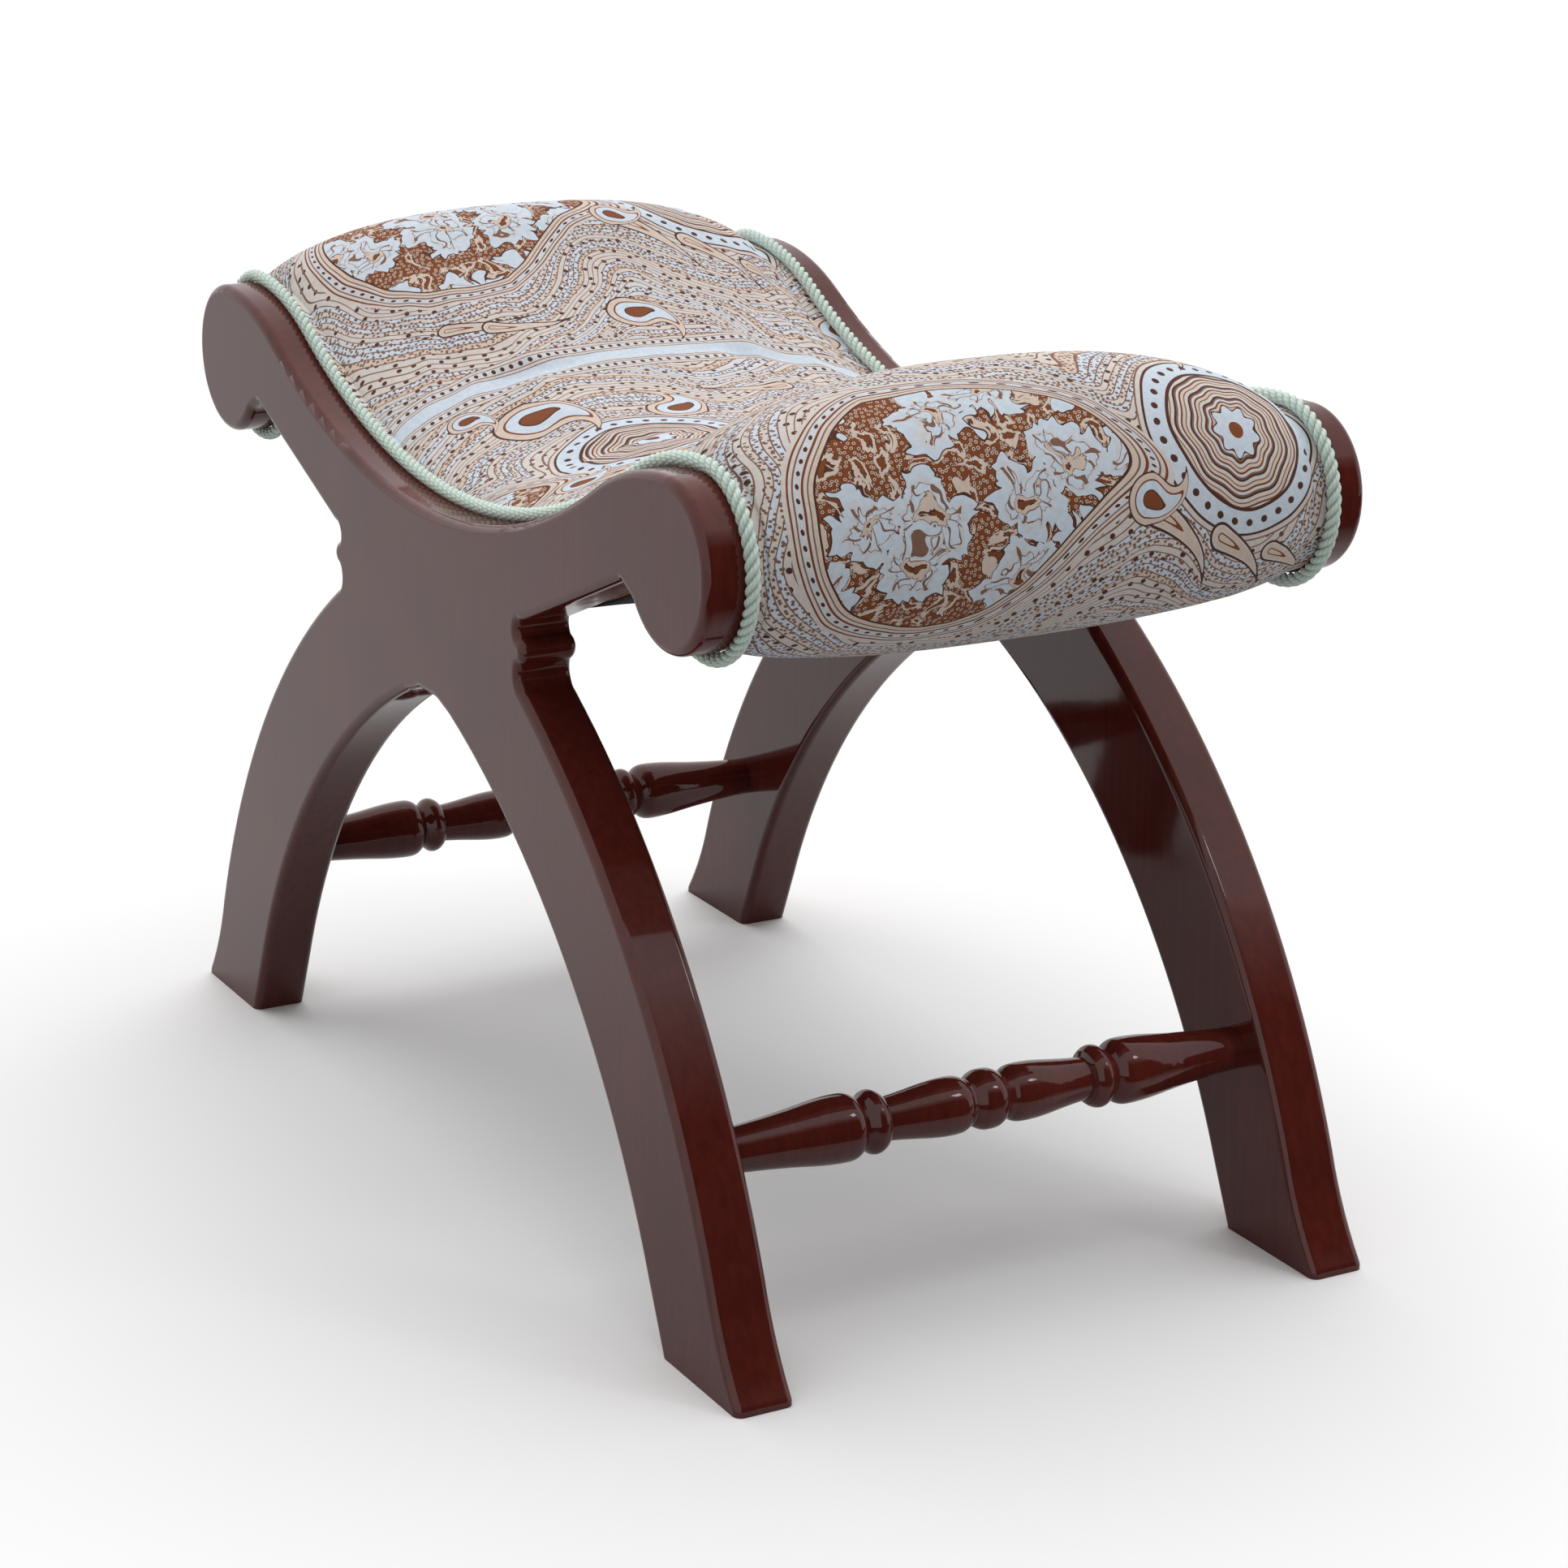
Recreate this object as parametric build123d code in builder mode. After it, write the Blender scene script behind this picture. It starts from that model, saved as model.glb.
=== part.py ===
"""Camel saddle stool: two sawn end frames with crossed, curved legs and a dished top rail, held
apart by two turned stretchers and a slatted seat, upholstered in printed cotton and edged with
twisted rope.

Millimetres. The origin is on the floor at the middle of the footprint, +Z is up, X runs along
the saddle's curve and Y along the stretchers. The near frame is the one at -Y.
"""

import os
from math import asin, cos, degrees, radians, sin

from build123d import *

os.makedirs("parts", exist_ok=True)

# Overall sizes
foot_span = 600.0  # over the toes of one end frame
stool_depth = 312.0  # over the outer faces of the end frames
frame_thickness = 27.0  # board that the end frames are sawn from
edge_round = 4.0  # rounded edges of the end frames

# The saddle line, which is the top edge of each end frame
saddle_height = 314.5  # wood at the middle of the saddle
scroll_rise = 62.5  # from there up to the wood at the top of the scrolls
scroll_spacing = 478.0  # between the scrolls' centres
scroll_radius = 36.0
shoulder_radius = 130.0  # where the saddle turns over into the scrolls
hook_angle = -145.0  # where the scroll's round ends, in degrees from +X

# Hooks under the scrolls and the limbs that they hang from
throat_inset = 40.0  # from the scroll's centre in to the throat
throat_drop = 15.0  # from the scroll's centre down to the throat
throat_round = 3.0
hook_round = 12.0

# Waist, where the rail stands on the legs, with a bead between two hollows on each side
waist_width = 196.0  # across the hollows
seam_depth = 42.0  # from the saddle's middle down to the joint on the bead's nose
bead_stand = 6.5  # bead's nose beyond the hollows
bead_half = 6.0
bead_root = 1.5  # bead's root beyond the hollows
hollow_rise = 10.0  # from the bead's nose to the upper hollow
hollow_fall = 11.0  # from the bead's nose to the lower hollow
limb_step = 5.0  # edges of the limbs beyond the hollows
limb_rise = 14.0
limb_fall = 18.0
limb_round = 5.5
root_round = 2.0

# Legs
crotch_depth = 43.5  # from the joint down to the flat top of the crotch
crotch_half = 10.0  # half of that flat top
foot_length = 68.0  # of the foot along X
ankle_height = 48.0
ankle_inset = 24.0  # the toe's flare beyond the ankle
toe_edge = 3.0  # upright edge of the toe
heel_height = 28.5
heel_inset = 13.0  # inner edge of the leg at the heel, in from the foot's inner corner
# Bowed edges pass these places, as shares of half the foot span and of the seam's height
outer_bow_shares = (0.683, 0.615)
inner_bow_shares = (0.450, 0.552)
flare_bow_shares = (0.40, 0.50)  # between the ankle and the toe
crotch_drop = 4.5  # crotch's rounding, down and out from its flat top
crotch_reach = 14.0
crotch_round = 12.0
leg_round = 40.0  # where the legs turn at the ankle and the heel
toe_round = 5.0

# Joints of the end frames
dowel_radius = 5.0
dowel_length = 34.0
dowel_clearance = 0.1
dowel_end_gap = 1.0
dowel_places = (35.0, 76.0)  # upright dowels, out from the middle
cross_dowel_drop = 21.0  # level dowel between the legs, below the seam

# Turned stretchers
stretcher_inset = 68.0  # from the toes in to the stretchers' axes
stretcher_height = 86.0
tenon_radius = 8.0
tenon_length = 20.0
tenon_clearance = 0.1
tenon_end_gap = 1.0
vase_radius = 14.8  # the widest place of the outer vases
bead_radius = 14.0
neck_radius = 9.4
inner_vase_radius = 12.8
centre_bead_radius = 13.3
centre_groove_radius = 10.2
end_radius = 9.6  # at the legs
# Places of the turning, each as a share of the half length between the legs, from the middle
# outwards, and as a share of the radius that its name gives
centre_bead_shares = ((0.0, 1.0), (0.028, 0.97), (0.05, 0.86))
centre_groove_shares = ((0.064, 1.0), (0.08, 1.06))
inner_vase_shares = ((0.1, 0.95), (0.14, 1.0), (0.2, 0.97), (0.29, 0.85))
neck_shares = ((0.36, 1.04), (0.392, 1.0), (0.484, 1.14))
bead_shares = ((0.4, 0.84), (0.42, 0.97), (0.436, 1.0), (0.452, 0.96), (0.47, 0.83))
vase_shares = ((0.496, 0.84), (0.52, 0.97), (0.56, 1.0), (0.62, 0.97), (0.72, 0.86))
end_shares = ((0.86, 1.12), (1.0, 1.0))

# Upholstery edge
rebate_width = 9.6  # lowered inner part of the rail's top, for the edge of the cover
rebate_depth = 2.0
cover_thickness = 1.2
soft_gap = 0.3  # soft pieces stay this far off their neighbours
stuffing_gap = 0.6  # and the stuffing this far off its cover and its own pieces
rope_radius = 3.2
rope_face_inset = 18.8  # rope's centre behind the frame's outer face
rope_hook_turn = 8.0  # rope ends this many degrees before the hook
rebate_run_out = 8.0  # rebate's end, out past the hook

# Slatted seat
slat_count = 9
slat_pitch = 50.0
slat_width = 38.0
slat_thickness = 10.0
slat_depth = 16.0  # slats' tops below the saddle line
slat_end_gap = 0.5
slat_housing = 1.0  # depth of the flats that the ledgers hold the slats in
slat_side_gap = 0.3
ledger_thickness = 18.0
ledger_height = 13.0
ledger_reach = 214.0  # half of the ledger's length, along the curve

# Roll cores between the scrolls
core_radius = 20.0
core_tenon_radius = 8.0
core_tenon_length = 14.0
core_gap = 0.3

# Cushion, at its fullest in the middle between the frames
crown_dip = 22.5  # rise over the saddle's middle
crown_in = 9.3  # the roll's centre moves in by this
crown_up = 7.2  # and up by this
crown_roll = 21.3  # and its radius grows by this
crown_shoulder = 83.0  # the full cushion turns over this much tighter
crown_hook_turn = 45.0  # the roll's round ends this many degrees sooner
crown_power = 2.6
crown_root = 1.4
cushion_station_shares = (-1.0, -0.94, -0.79, -0.47, 0.0, 0.47, 0.79, 0.94, 1.0)
tuck_inset = 0.5  # cover's tucked edge, in from the core

# Dust cover under the seat
dust_cover_thickness = 0.8
dust_cover_end_gap = 2.0  # ledgers' ends past the dust cover's

# Screws
screw_radius = 2.0
screw_head_radius = 4.0
screw_head_height = 2.2
screw_clearance = 0.1
screw_slot_width = 0.9
screw_slot_depth = 0.8
ledger_screw_length = 34.0
slat_screw_length = 20.0
ledger_screw_shares = (-3.5, -1.5, 1.5, 3.5)  # in slat pitches, so between the slats
slat_screw_inset = 9.0  # from the frame's inner face

# Places worked out from the sizes
half_depth = stool_depth / 2
inner_face = half_depth - frame_thickness
board_middle = half_depth - frame_thickness / 2
rope_y = half_depth - rope_face_inset
scroll_top = saddle_height + scroll_rise
scroll_x = scroll_spacing / 2
scroll_z = scroll_top - scroll_radius
seam_height = saddle_height - seam_depth
crotch_height = seam_height - crotch_depth
waist_half = waist_width / 2
foot_half = foot_span / 2
stretcher_x = foot_half - stretcher_inset
ledger_top = slat_depth + slat_thickness - slat_housing
ledger_middle = ledger_top + ledger_height / 2
rope_offset = cover_thickness + soft_gap - rebate_depth + rope_radius + soft_gap
cover_half = inner_face + rebate_width - soft_gap
cushion_half = inner_face - soft_gap
overrun = foot_span
down = (Align.CENTER, Align.CENTER, Align.MAX)
same_place = frame_thickness / 1000
corner_rounds = (
    ("throat", throat_round),
    ("hook", hook_round),
    ("limb", limb_round),
    ("upper_root", root_round),
    ("lower_root", root_round),
    ("leg_top", limb_round),
    ("ankle", leg_round),
    ("toe", toe_round),
    ("heel", leg_round),
    ("crotch_foot", crotch_round),
    ("crotch", crotch_round),
)


def polar(x, z, radius, angle):
    """A point at an angle, in degrees from +X, round a centre."""
    return (x + radius * cos(radians(angle)), z + radius * sin(radians(angle)))


def saddle_sizes(grow=0.0, crown=0.0):
    """Centres and radii of the arcs of the saddle line, grown outwards and crowned."""
    roll_x = scroll_x - crown_in * crown
    roll_z = scroll_z + crown_up * crown
    roll_r = scroll_radius + grow + crown_roll * crown
    low = saddle_height + grow + crown_dip * crown
    rise = roll_z + roll_r - low
    reach = (roll_x**2 + rise**2) / (2 * rise)
    shoulder_r = shoulder_radius + grow - crown_shoulder * crown
    lean = degrees(asin(roll_x / reach))
    return roll_x, roll_z, roll_r, low, reach - shoulder_r, shoulder_r, lean


def saddle_place(run, grow=0.0):
    """Point and slope in degrees at a run along the saddle line from its middle."""
    *_, valley_r, shoulder_r, lean = saddle_sizes()
    side = 1 if run >= 0 else -1
    turn = degrees(abs(run) / valley_r)
    if turn <= lean:
        x, z = polar(0, saddle_height + valley_r, valley_r - grow, turn - 90)
        return side * x, z, side * turn
    turn = lean - degrees((abs(run) - radians(lean) * valley_r) / shoulder_r)
    x, z = polar(scroll_x, scroll_top - shoulder_r, shoulder_r + grow, 90 + turn)
    return side * x, z, side * turn


def arc(x, z, radius, start, end):
    """An arc about a centre in the drawing plane, from one angle to another."""
    points = [polar(x, z, radius, a) for a in (start, (start + end) / 2, end)]
    return ThreePointArc(*points)


def saddle_top(grow, crown=0.0, backwards=False):
    """Shoulder, valley and shoulder, from one roll's top to the other's."""
    roll_x, _, _, low, valley_r, shoulder_r, lean = saddle_sizes(grow, crown)
    high = low + valley_r * (1 - cos(radians(lean))) + shoulder_r * (1 - cos(radians(lean)))
    arcs = [
        (-roll_x, high - shoulder_r, shoulder_r, 90, 90 - lean),
        (0, low + valley_r, valley_r, -90 - lean, -90 + lean),
        (roll_x, high - shoulder_r, shoulder_r, 90 + lean, 90),
    ]
    if backwards:
        arcs = [(x, z, r, end, start) for x, z, r, start, end in reversed(arcs)]
    for place in arcs:
        arc(*place)


def roll_arc(side, grow, crown=0.0, inwards=False, short=0.0):
    """Round of one roll, from its top to the hook, in two arcs of under a half circle."""
    roll_x, roll_z, roll_r, *_ = saddle_sizes(grow, crown)
    end = hook_angle + crown_hook_turn * crown + short
    angles = [90, (90 + end) / 2, end]
    if side < 0:
        angles = [180 - a for a in angles]
    if inwards:
        angles.reverse()
    arc(side * roll_x, roll_z, roll_r, angles[0], angles[1])
    arc(side * roll_x, roll_z, roll_r, angles[1], angles[2])


def roll_end(side, grow, crown=0.0):
    """Where the roll's round ends at the hook."""
    roll_x, roll_z, roll_r, *_ = saddle_sizes(grow, crown)
    x, z = polar(roll_x, roll_z, roll_r, hook_angle + crown_hook_turn * crown)
    return side * x, z


def crown_at(share):
    """How full the cushion is: 1 in the middle, and 0 at the frames, where the share is 1."""
    return (1 - abs(share) ** crown_power) ** (1 / crown_root)


def cushion_plane(y):
    return Plane.XZ.offset(-y)


def outline_places():
    """Corners and bows of the sawn edge of an end frame, on the +X side, as (x, z)."""
    ankle = (foot_half - ankle_inset, ankle_height)
    toe = (foot_half, toe_edge)
    foot_inner = foot_half - foot_length
    return {
        "hook": roll_end(1, 0),
        "throat": (scroll_x - throat_inset, scroll_z - throat_drop),
        "limb": (waist_half + limb_step, seam_height + limb_rise),
        "upper_hollow": (waist_half, seam_height + hollow_rise),
        "upper_root": (waist_half + bead_root, seam_height + bead_half),
        "bead": (waist_half + bead_stand, seam_height),
        "lower_root": (waist_half + bead_root, seam_height - bead_half),
        "lower_hollow": (waist_half, seam_height - hollow_fall),
        "leg_top": (waist_half + limb_step, seam_height - limb_fall),
        "outer_bow": (foot_half * outer_bow_shares[0], seam_height * outer_bow_shares[1]),
        "ankle": ankle,
        "flare_bow": (
            ankle[0] + (toe[0] - ankle[0]) * flare_bow_shares[0],
            ankle[1] + (toe[1] - ankle[1]) * flare_bow_shares[1],
        ),
        "toe": toe,
        "foot_outer": (foot_half, 0),
        "foot_inner": (foot_inner, 0),
        "heel": (foot_inner - heel_inset, heel_height),
        "inner_bow": (foot_half * inner_bow_shares[0], seam_height * inner_bow_shares[1]),
        "crotch_foot": (crotch_half + crotch_reach, crotch_height - crotch_drop),
        "crotch": (crotch_half, crotch_height),
        "crotch_middle": (0, crotch_height),
    }


def half_outline(side):
    """Sawn edge of the end frame on one side, from the hook down to the crotch's middle."""
    at = {name: (side * x, z) for name, (x, z) in outline_places().items()}
    Polyline(at["hook"], at["throat"], at["limb"])
    ThreePointArc(at["limb"], at["upper_hollow"], at["upper_root"])
    ThreePointArc(at["upper_root"], at["bead"], at["lower_root"])
    ThreePointArc(at["lower_root"], at["lower_hollow"], at["leg_top"])
    ThreePointArc(at["leg_top"], at["outer_bow"], at["ankle"])
    ThreePointArc(at["ankle"], at["flare_bow"], at["toe"])
    Polyline(at["toe"], at["foot_outer"], at["foot_inner"], at["heel"])
    ThreePointArc(at["heel"], at["inner_bow"], at["crotch_foot"])
    Polyline(at["crotch_foot"], at["crotch"], at["crotch_middle"])


def corners(sketch, name):
    """Both corners of the sawn edge at a named place."""
    x, z = outline_places()[name]
    return [v for v in sketch.vertices() if abs(abs(v.X) - x) + abs(v.Y - z) < same_place]


def frame_blank(side):
    """One end frame before its joints are cut: sawn, then rounded along both faces."""
    with BuildPart() as blank:
        with BuildSketch(Plane.XZ.offset(half_depth if side < 0 else -inner_face)) as sawn:
            with BuildLine():
                saddle_top(0)
                for edge in (1, -1):
                    roll_arc(edge, 0)
                    half_outline(edge)
            make_face()
            for name, radius in corner_rounds:
                fillet(corners(sawn, name), radius)
        extrude(amount=-frame_thickness)
        faces = blank.faces().filter_by(Axis.Y)
        rounded = faces.edges().filter_by(lambda e: e.center().Z > same_place)
        fillet(rounded, edge_round)
        # Lowered seat for the edge of the cover, along the rail's top and round the scrolls
        face_y = side * (inner_face + rebate_width)
        with BuildSketch(Plane.XZ.offset(-face_y)):
            with BuildLine():
                saddle_top(-rebate_depth)
                for edge in (1, -1):
                    roll_arc(edge, -rebate_depth)
                    run_out = roll_end(edge, rebate_run_out)
                    Polyline(
                        roll_end(edge, -rebate_depth),
                        run_out,
                        (run_out[0], crotch_height),
                        (edge * overrun, crotch_height),
                        (edge * overrun, scroll_top + overrun),
                        (0, scroll_top + overrun),
                    )
            make_face()
        extrude(amount=side * rebate_width, mode=Mode.SUBTRACT)
    return blank.part


def upright_dowel_places(side):
    y = side * board_middle
    return [(edge * x, y, seam_height) for x in dowel_places for edge in (1, -1)]


def cross_dowel_place(side):
    return (0, side * board_middle, seam_height - cross_dowel_drop)


def ledger_runs():
    return [share * slat_pitch for share in ledger_screw_shares]


def slat_runs():
    middle = (slat_count - 1) / 2
    return [(i - middle) * slat_pitch for i in range(slat_count)]


def ledger_screw_planes(side):
    """Each screw's seat on the ledger's inner face, facing the middle of the stool."""
    planes = []
    for run in ledger_runs():
        x, z, _ = saddle_place(run, -ledger_middle)
        origin = (x, side * (inner_face - ledger_thickness), z)
        planes.append(Plane(origin, x_dir=(1, 0, 0), z_dir=(0, -side, 0)))
    return planes


def slat_plane(run, y=0.0):
    """Middle of a slat's top, facing up off the slat."""
    x, z, slope = saddle_place(run, -slat_depth)
    lean = radians(slope)
    return Plane((x, y, z), x_dir=(cos(lean), 0, sin(lean)), z_dir=(-sin(lean), 0, cos(lean)))


def slat_screw_planes(side, runs):
    return [slat_plane(run, side * (inner_face - slat_screw_inset)) for run in runs]


def drill_screw_holes(planes, length):
    """Clearance holes for screws, countersunk for their heads."""
    hole_radius = screw_radius + screw_clearance
    mouth_radius = screw_head_radius + screw_clearance
    with Locations(*planes):
        Cylinder(hole_radius, length + screw_clearance, align=down, mode=Mode.SUBTRACT)
        Cone(hole_radius, mouth_radius, screw_head_height, align=down, mode=Mode.SUBTRACT)


def drive_screws(planes, length):
    """Countersunk slotted screws, flush with the face that they are driven from."""
    with Locations(*planes):
        Cylinder(screw_radius, length, align=down)
        Cone(screw_radius, screw_head_radius, screw_head_height, align=down)
        Box(
            screw_slot_width,
            2 * screw_head_radius,
            screw_slot_depth,
            align=down,
            mode=Mode.SUBTRACT,
        )


# End frames: a top rail on two legs, shaped together and doweled at the waist

for frame_name, side in (("near", -1), ("far", 1)):
    blank = frame_blank(side)

    with BuildPart() as yoke:
        add(blank)
        split(bisect_by=Plane.XY.offset(seam_height), keep=Keep.TOP)
        for place in upright_dowel_places(side):
            with BuildSketch(Plane.XY.offset(seam_height)):
                with Locations(place[:2]):
                    Circle(dowel_radius + dowel_clearance)
            extrude(amount=dowel_length / 2 + dowel_end_gap, mode=Mode.SUBTRACT)
        # Sockets for the roll cores' tenons
        with BuildSketch(Plane.XZ.offset(-side * inner_face)):
            with Locations((scroll_x, scroll_z), (-scroll_x, scroll_z)):
                Circle(core_tenon_radius + tenon_clearance)
        extrude(amount=-side * (core_tenon_length + tenon_end_gap), mode=Mode.SUBTRACT)
        # Pilot holes for the ledger's screws
        drill_screw_holes(ledger_screw_planes(side), ledger_screw_length)
    yoke.part.label = f"{frame_name}_top_rail"
    export_step(yoke.part, f"parts/{yoke.part.label}.step")

    for leg_name, edge in (("left", -1), ("right", 1)):
        with BuildPart() as leg:
            add(blank)
            split(bisect_by=Plane.XY.offset(seam_height), keep=Keep.BOTTOM)
            split(bisect_by=Plane.YZ, keep=Keep.TOP if edge > 0 else Keep.BOTTOM)
            with BuildSketch(Plane.XY.offset(seam_height)):
                with Locations(*[p[:2] for p in upright_dowel_places(side) if p[0] * edge > 0]):
                    Circle(dowel_radius + dowel_clearance)
            extrude(amount=-dowel_length / 2 - dowel_end_gap, mode=Mode.SUBTRACT)
            with BuildSketch(Plane.YZ):
                with Locations(cross_dowel_place(side)[1:]):
                    Circle(dowel_radius + dowel_clearance)
            extrude(amount=edge * (dowel_length / 2 + dowel_end_gap), mode=Mode.SUBTRACT)
            # Mortise for the stretcher's tenon
            with BuildSketch(Plane.XZ.offset(-side * inner_face)):
                with Locations((edge * stretcher_x, stretcher_height)):
                    Circle(tenon_radius + tenon_clearance)
            extrude(amount=-side * (tenon_length + tenon_end_gap), mode=Mode.SUBTRACT)
        leg.part.label = f"{frame_name}_{leg_name}_leg"
        export_step(leg.part, f"parts/{leg.part.label}.step")

    with BuildPart() as dowels:
        with BuildSketch(Plane.XY.offset(seam_height - dowel_length / 2)):
            with Locations(*[p[:2] for p in upright_dowel_places(side)]):
                Circle(dowel_radius)
        extrude(amount=dowel_length)
        with BuildSketch(Plane.YZ.offset(-dowel_length / 2)):
            with Locations(cross_dowel_place(side)[1:]):
                Circle(dowel_radius)
        extrude(amount=dowel_length)
    dowels.part.label = f"{frame_name}_frame_dowels"
    export_step(dowels.part, f"parts/{dowels.part.label}.step")

# Turned stretchers, each with an outer vase, a bead, an inner vase and a bead in the middle


def turned(shares, radius):
    """Places of a turning, as (along, radius), from its shares of both."""
    return [(along * inner_face, radius * size) for along, size in shares]


for stretcher_name, edge in (("left", -1), ("right", 1)):
    middle = edge * stretcher_x
    groove = turned(centre_groove_shares, centre_groove_radius)
    neck = turned(neck_shares, neck_radius)
    lines = {
        "centre_bead": turned(centre_bead_shares, centre_bead_radius) + groove[:1],
        "inner_vase": groove[1:] + turned(inner_vase_shares, inner_vase_radius) + neck[:2],
        "ring": turned(bead_shares, bead_radius) + neck[2:],
        "outer_vase": turned(vase_shares, vase_radius) + turned(end_shares, end_radius),
    }
    drawn = {name: [(middle + r, y) for y, r in places] for name, places in lines.items()}
    with BuildPart() as stretcher:
        with BuildSketch(Plane.XY.offset(stretcher_height)):
            with BuildLine():
                Spline(*drawn["centre_bead"], tangents=((0, 1), (-1, 1)))
                Line(drawn["centre_bead"][-1], drawn["inner_vase"][0])
                Spline(*drawn["inner_vase"])
                Line(drawn["inner_vase"][-1], drawn["ring"][0])
                Spline(*drawn["ring"])
                Line(drawn["ring"][-1], drawn["outer_vase"][0])
                Spline(*drawn["outer_vase"])
                Polyline(
                    drawn["outer_vase"][-1],
                    (middle + tenon_radius, inner_face),
                    (middle + tenon_radius, inner_face + tenon_length),
                    (middle, inner_face + tenon_length),
                    (middle, 0),
                    drawn["centre_bead"][0],
                )
            make_face()
        revolve(axis=Axis((middle, 0, stretcher_height), (0, 1, 0)))
        mirror(about=Plane.XZ)
    stretcher.part.label = f"{stretcher_name}_stretcher"
    export_step(stretcher.part, f"parts/{stretcher.part.label}.step")

# Ledgers screwed to the rails, and the slats that lie across them

for frame_name, side in (("near", -1), ("far", 1)):
    with BuildPart() as ledger:
        with BuildSketch(Plane.XZ.offset(-side * inner_face)):
            with BuildLine():
                saddle_top(-ledger_top)
                high = scroll_top - ledger_top
                for edge in (-1, 1):
                    Line((edge * scroll_x, high), (edge * scroll_x, high - ledger_height))
                saddle_top(-ledger_top - ledger_height, backwards=True)
            make_face()
        extrude(amount=side * ledger_thickness)
        for edge in (-1, 1):
            x, z, slope = saddle_place(edge * ledger_reach, -ledger_top)
            outwards = (edge * cos(radians(slope)), 0, edge * sin(radians(slope)))
            split(bisect_by=Plane((x, 0, z), z_dir=outwards), keep=Keep.BOTTOM)
        for run in slat_runs():
            with BuildSketch(slat_plane(run)):
                Rectangle(slat_width + 2 * slat_side_gap, stool_depth)
            extrude(amount=-slat_thickness, mode=Mode.SUBTRACT)
        drill_screw_holes(slat_screw_planes(side, slat_runs()), slat_screw_length)
        drill_screw_holes(ledger_screw_planes(side), ledger_screw_length)
    ledger.part.label = f"{frame_name}_seat_ledger"
    export_step(ledger.part, f"parts/{ledger.part.label}.step")

    with BuildPart() as ledger_screws:
        drive_screws(ledger_screw_planes(side), ledger_screw_length)
    ledger_screws.part.label = f"{frame_name}_ledger_screws"
    export_step(ledger_screws.part, f"parts/{ledger_screws.part.label}.step")

for number, run in enumerate(slat_runs(), start=1):
    with BuildPart() as slat:
        with BuildSketch(slat_plane(run)):
            Rectangle(slat_width, 2 * (inner_face - slat_end_gap))
        extrude(amount=-slat_thickness)
        for side in (-1, 1):
            drill_screw_holes(slat_screw_planes(side, [run]), slat_screw_length)
    slat.part.label = f"seat_slat_{number}"
    export_step(slat.part, f"parts/{slat.part.label}.step")

with BuildPart() as slat_screws:
    for side in (-1, 1):
        drive_screws(slat_screw_planes(side, slat_runs()), slat_screw_length)
slat_screws.part.label = "slat_screws"
export_step(slat_screws.part, "parts/slat_screws.step")

# Roll cores between the scrolls, with a tenon in each rail

for core_name, edge in (("left", -1), ("right", 1)):
    with BuildPart() as core:
        with BuildSketch(Plane.XZ.offset(-inner_face + core_gap)):
            with Locations((edge * scroll_x, scroll_z)):
                Circle(core_radius)
        extrude(amount=2 * (inner_face - core_gap))
        with BuildSketch(Plane.XZ.offset(-inner_face - core_tenon_length)):
            with Locations((edge * scroll_x, scroll_z)):
                Circle(core_tenon_radius)
        extrude(amount=2 * (inner_face + core_tenon_length))
    core.part.label = f"{core_name}_roll_core"
    export_step(core.part, f"parts/{core.part.label}.step")

# Stuffing: a pad over the slats and a roll round each core, all crowned between the frames

stuffing_grow = soft_gap - rebate_depth - stuffing_gap
# Flat slats stand a little proud of the curve where it turns over
bend_radius = saddle_sizes(-slat_depth)[5]
slat_proud = (slat_width / 2) ** 2 / (2 * bend_radius)
pad_floor = slat_depth - slat_proud - soft_gap
stuffing_half = cushion_half - stuffing_gap

with BuildPart() as pad:
    for share in cushion_station_shares:
        crown = crown_at(share)
        with BuildSketch(cushion_plane(share * stuffing_half)):
            with BuildLine():
                saddle_top(stuffing_grow, crown)
                roll_x, roll_z, roll_r, *_ = saddle_sizes(stuffing_grow, crown)
                Line((roll_x, roll_z + roll_r), (scroll_x, scroll_top - pad_floor))
                saddle_top(-pad_floor, backwards=True)
                Line((-scroll_x, scroll_top - pad_floor), (-roll_x, roll_z + roll_r))
            make_face()
    loft()
pad.part.label = "seat_pad"
export_step(pad.part, "parts/seat_pad.step")

for roll_name, edge in (("left", -1), ("right", 1)):
    with BuildPart() as roll:
        for share in cushion_station_shares:
            crown = crown_at(share)
            roll_x, roll_z, roll_r, *_ = saddle_sizes(stuffing_grow, crown)
            inner_r = core_radius + soft_gap
            clear = degrees(stuffing_gap / roll_r)
            angles = [90 - clear, 0, hook_angle + crown_hook_turn * crown + clear]
            angles[1] = (angles[0] + angles[2]) / 2
            clear = degrees(stuffing_gap / inner_r)
            core_angles = [90 - clear, 0, hook_angle + clear]
            core_angles[1] = (core_angles[0] + core_angles[2]) / 2
            if edge < 0:
                angles = [180 - a for a in angles]
                core_angles = [180 - a for a in core_angles]
            with BuildSketch(cushion_plane(share * stuffing_half)):
                with BuildLine():
                    arc(edge * roll_x, roll_z, roll_r, angles[0], angles[1])
                    arc(edge * roll_x, roll_z, roll_r, angles[1], angles[2])
                    Line(
                        polar(edge * roll_x, roll_z, roll_r, angles[2]),
                        polar(edge * scroll_x, scroll_z, inner_r, core_angles[2]),
                    )
                    arc(edge * scroll_x, scroll_z, inner_r, core_angles[2], core_angles[1])
                    arc(edge * scroll_x, scroll_z, inner_r, core_angles[1], core_angles[0])
                    Line(
                        polar(edge * scroll_x, scroll_z, inner_r, core_angles[0]),
                        polar(edge * roll_x, roll_z, roll_r, angles[0]),
                    )
                make_face()
        loft()
    roll.part.label = f"{roll_name}_roll_stuffing"
    export_step(roll.part, f"parts/{roll.part.label}.step")

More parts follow.
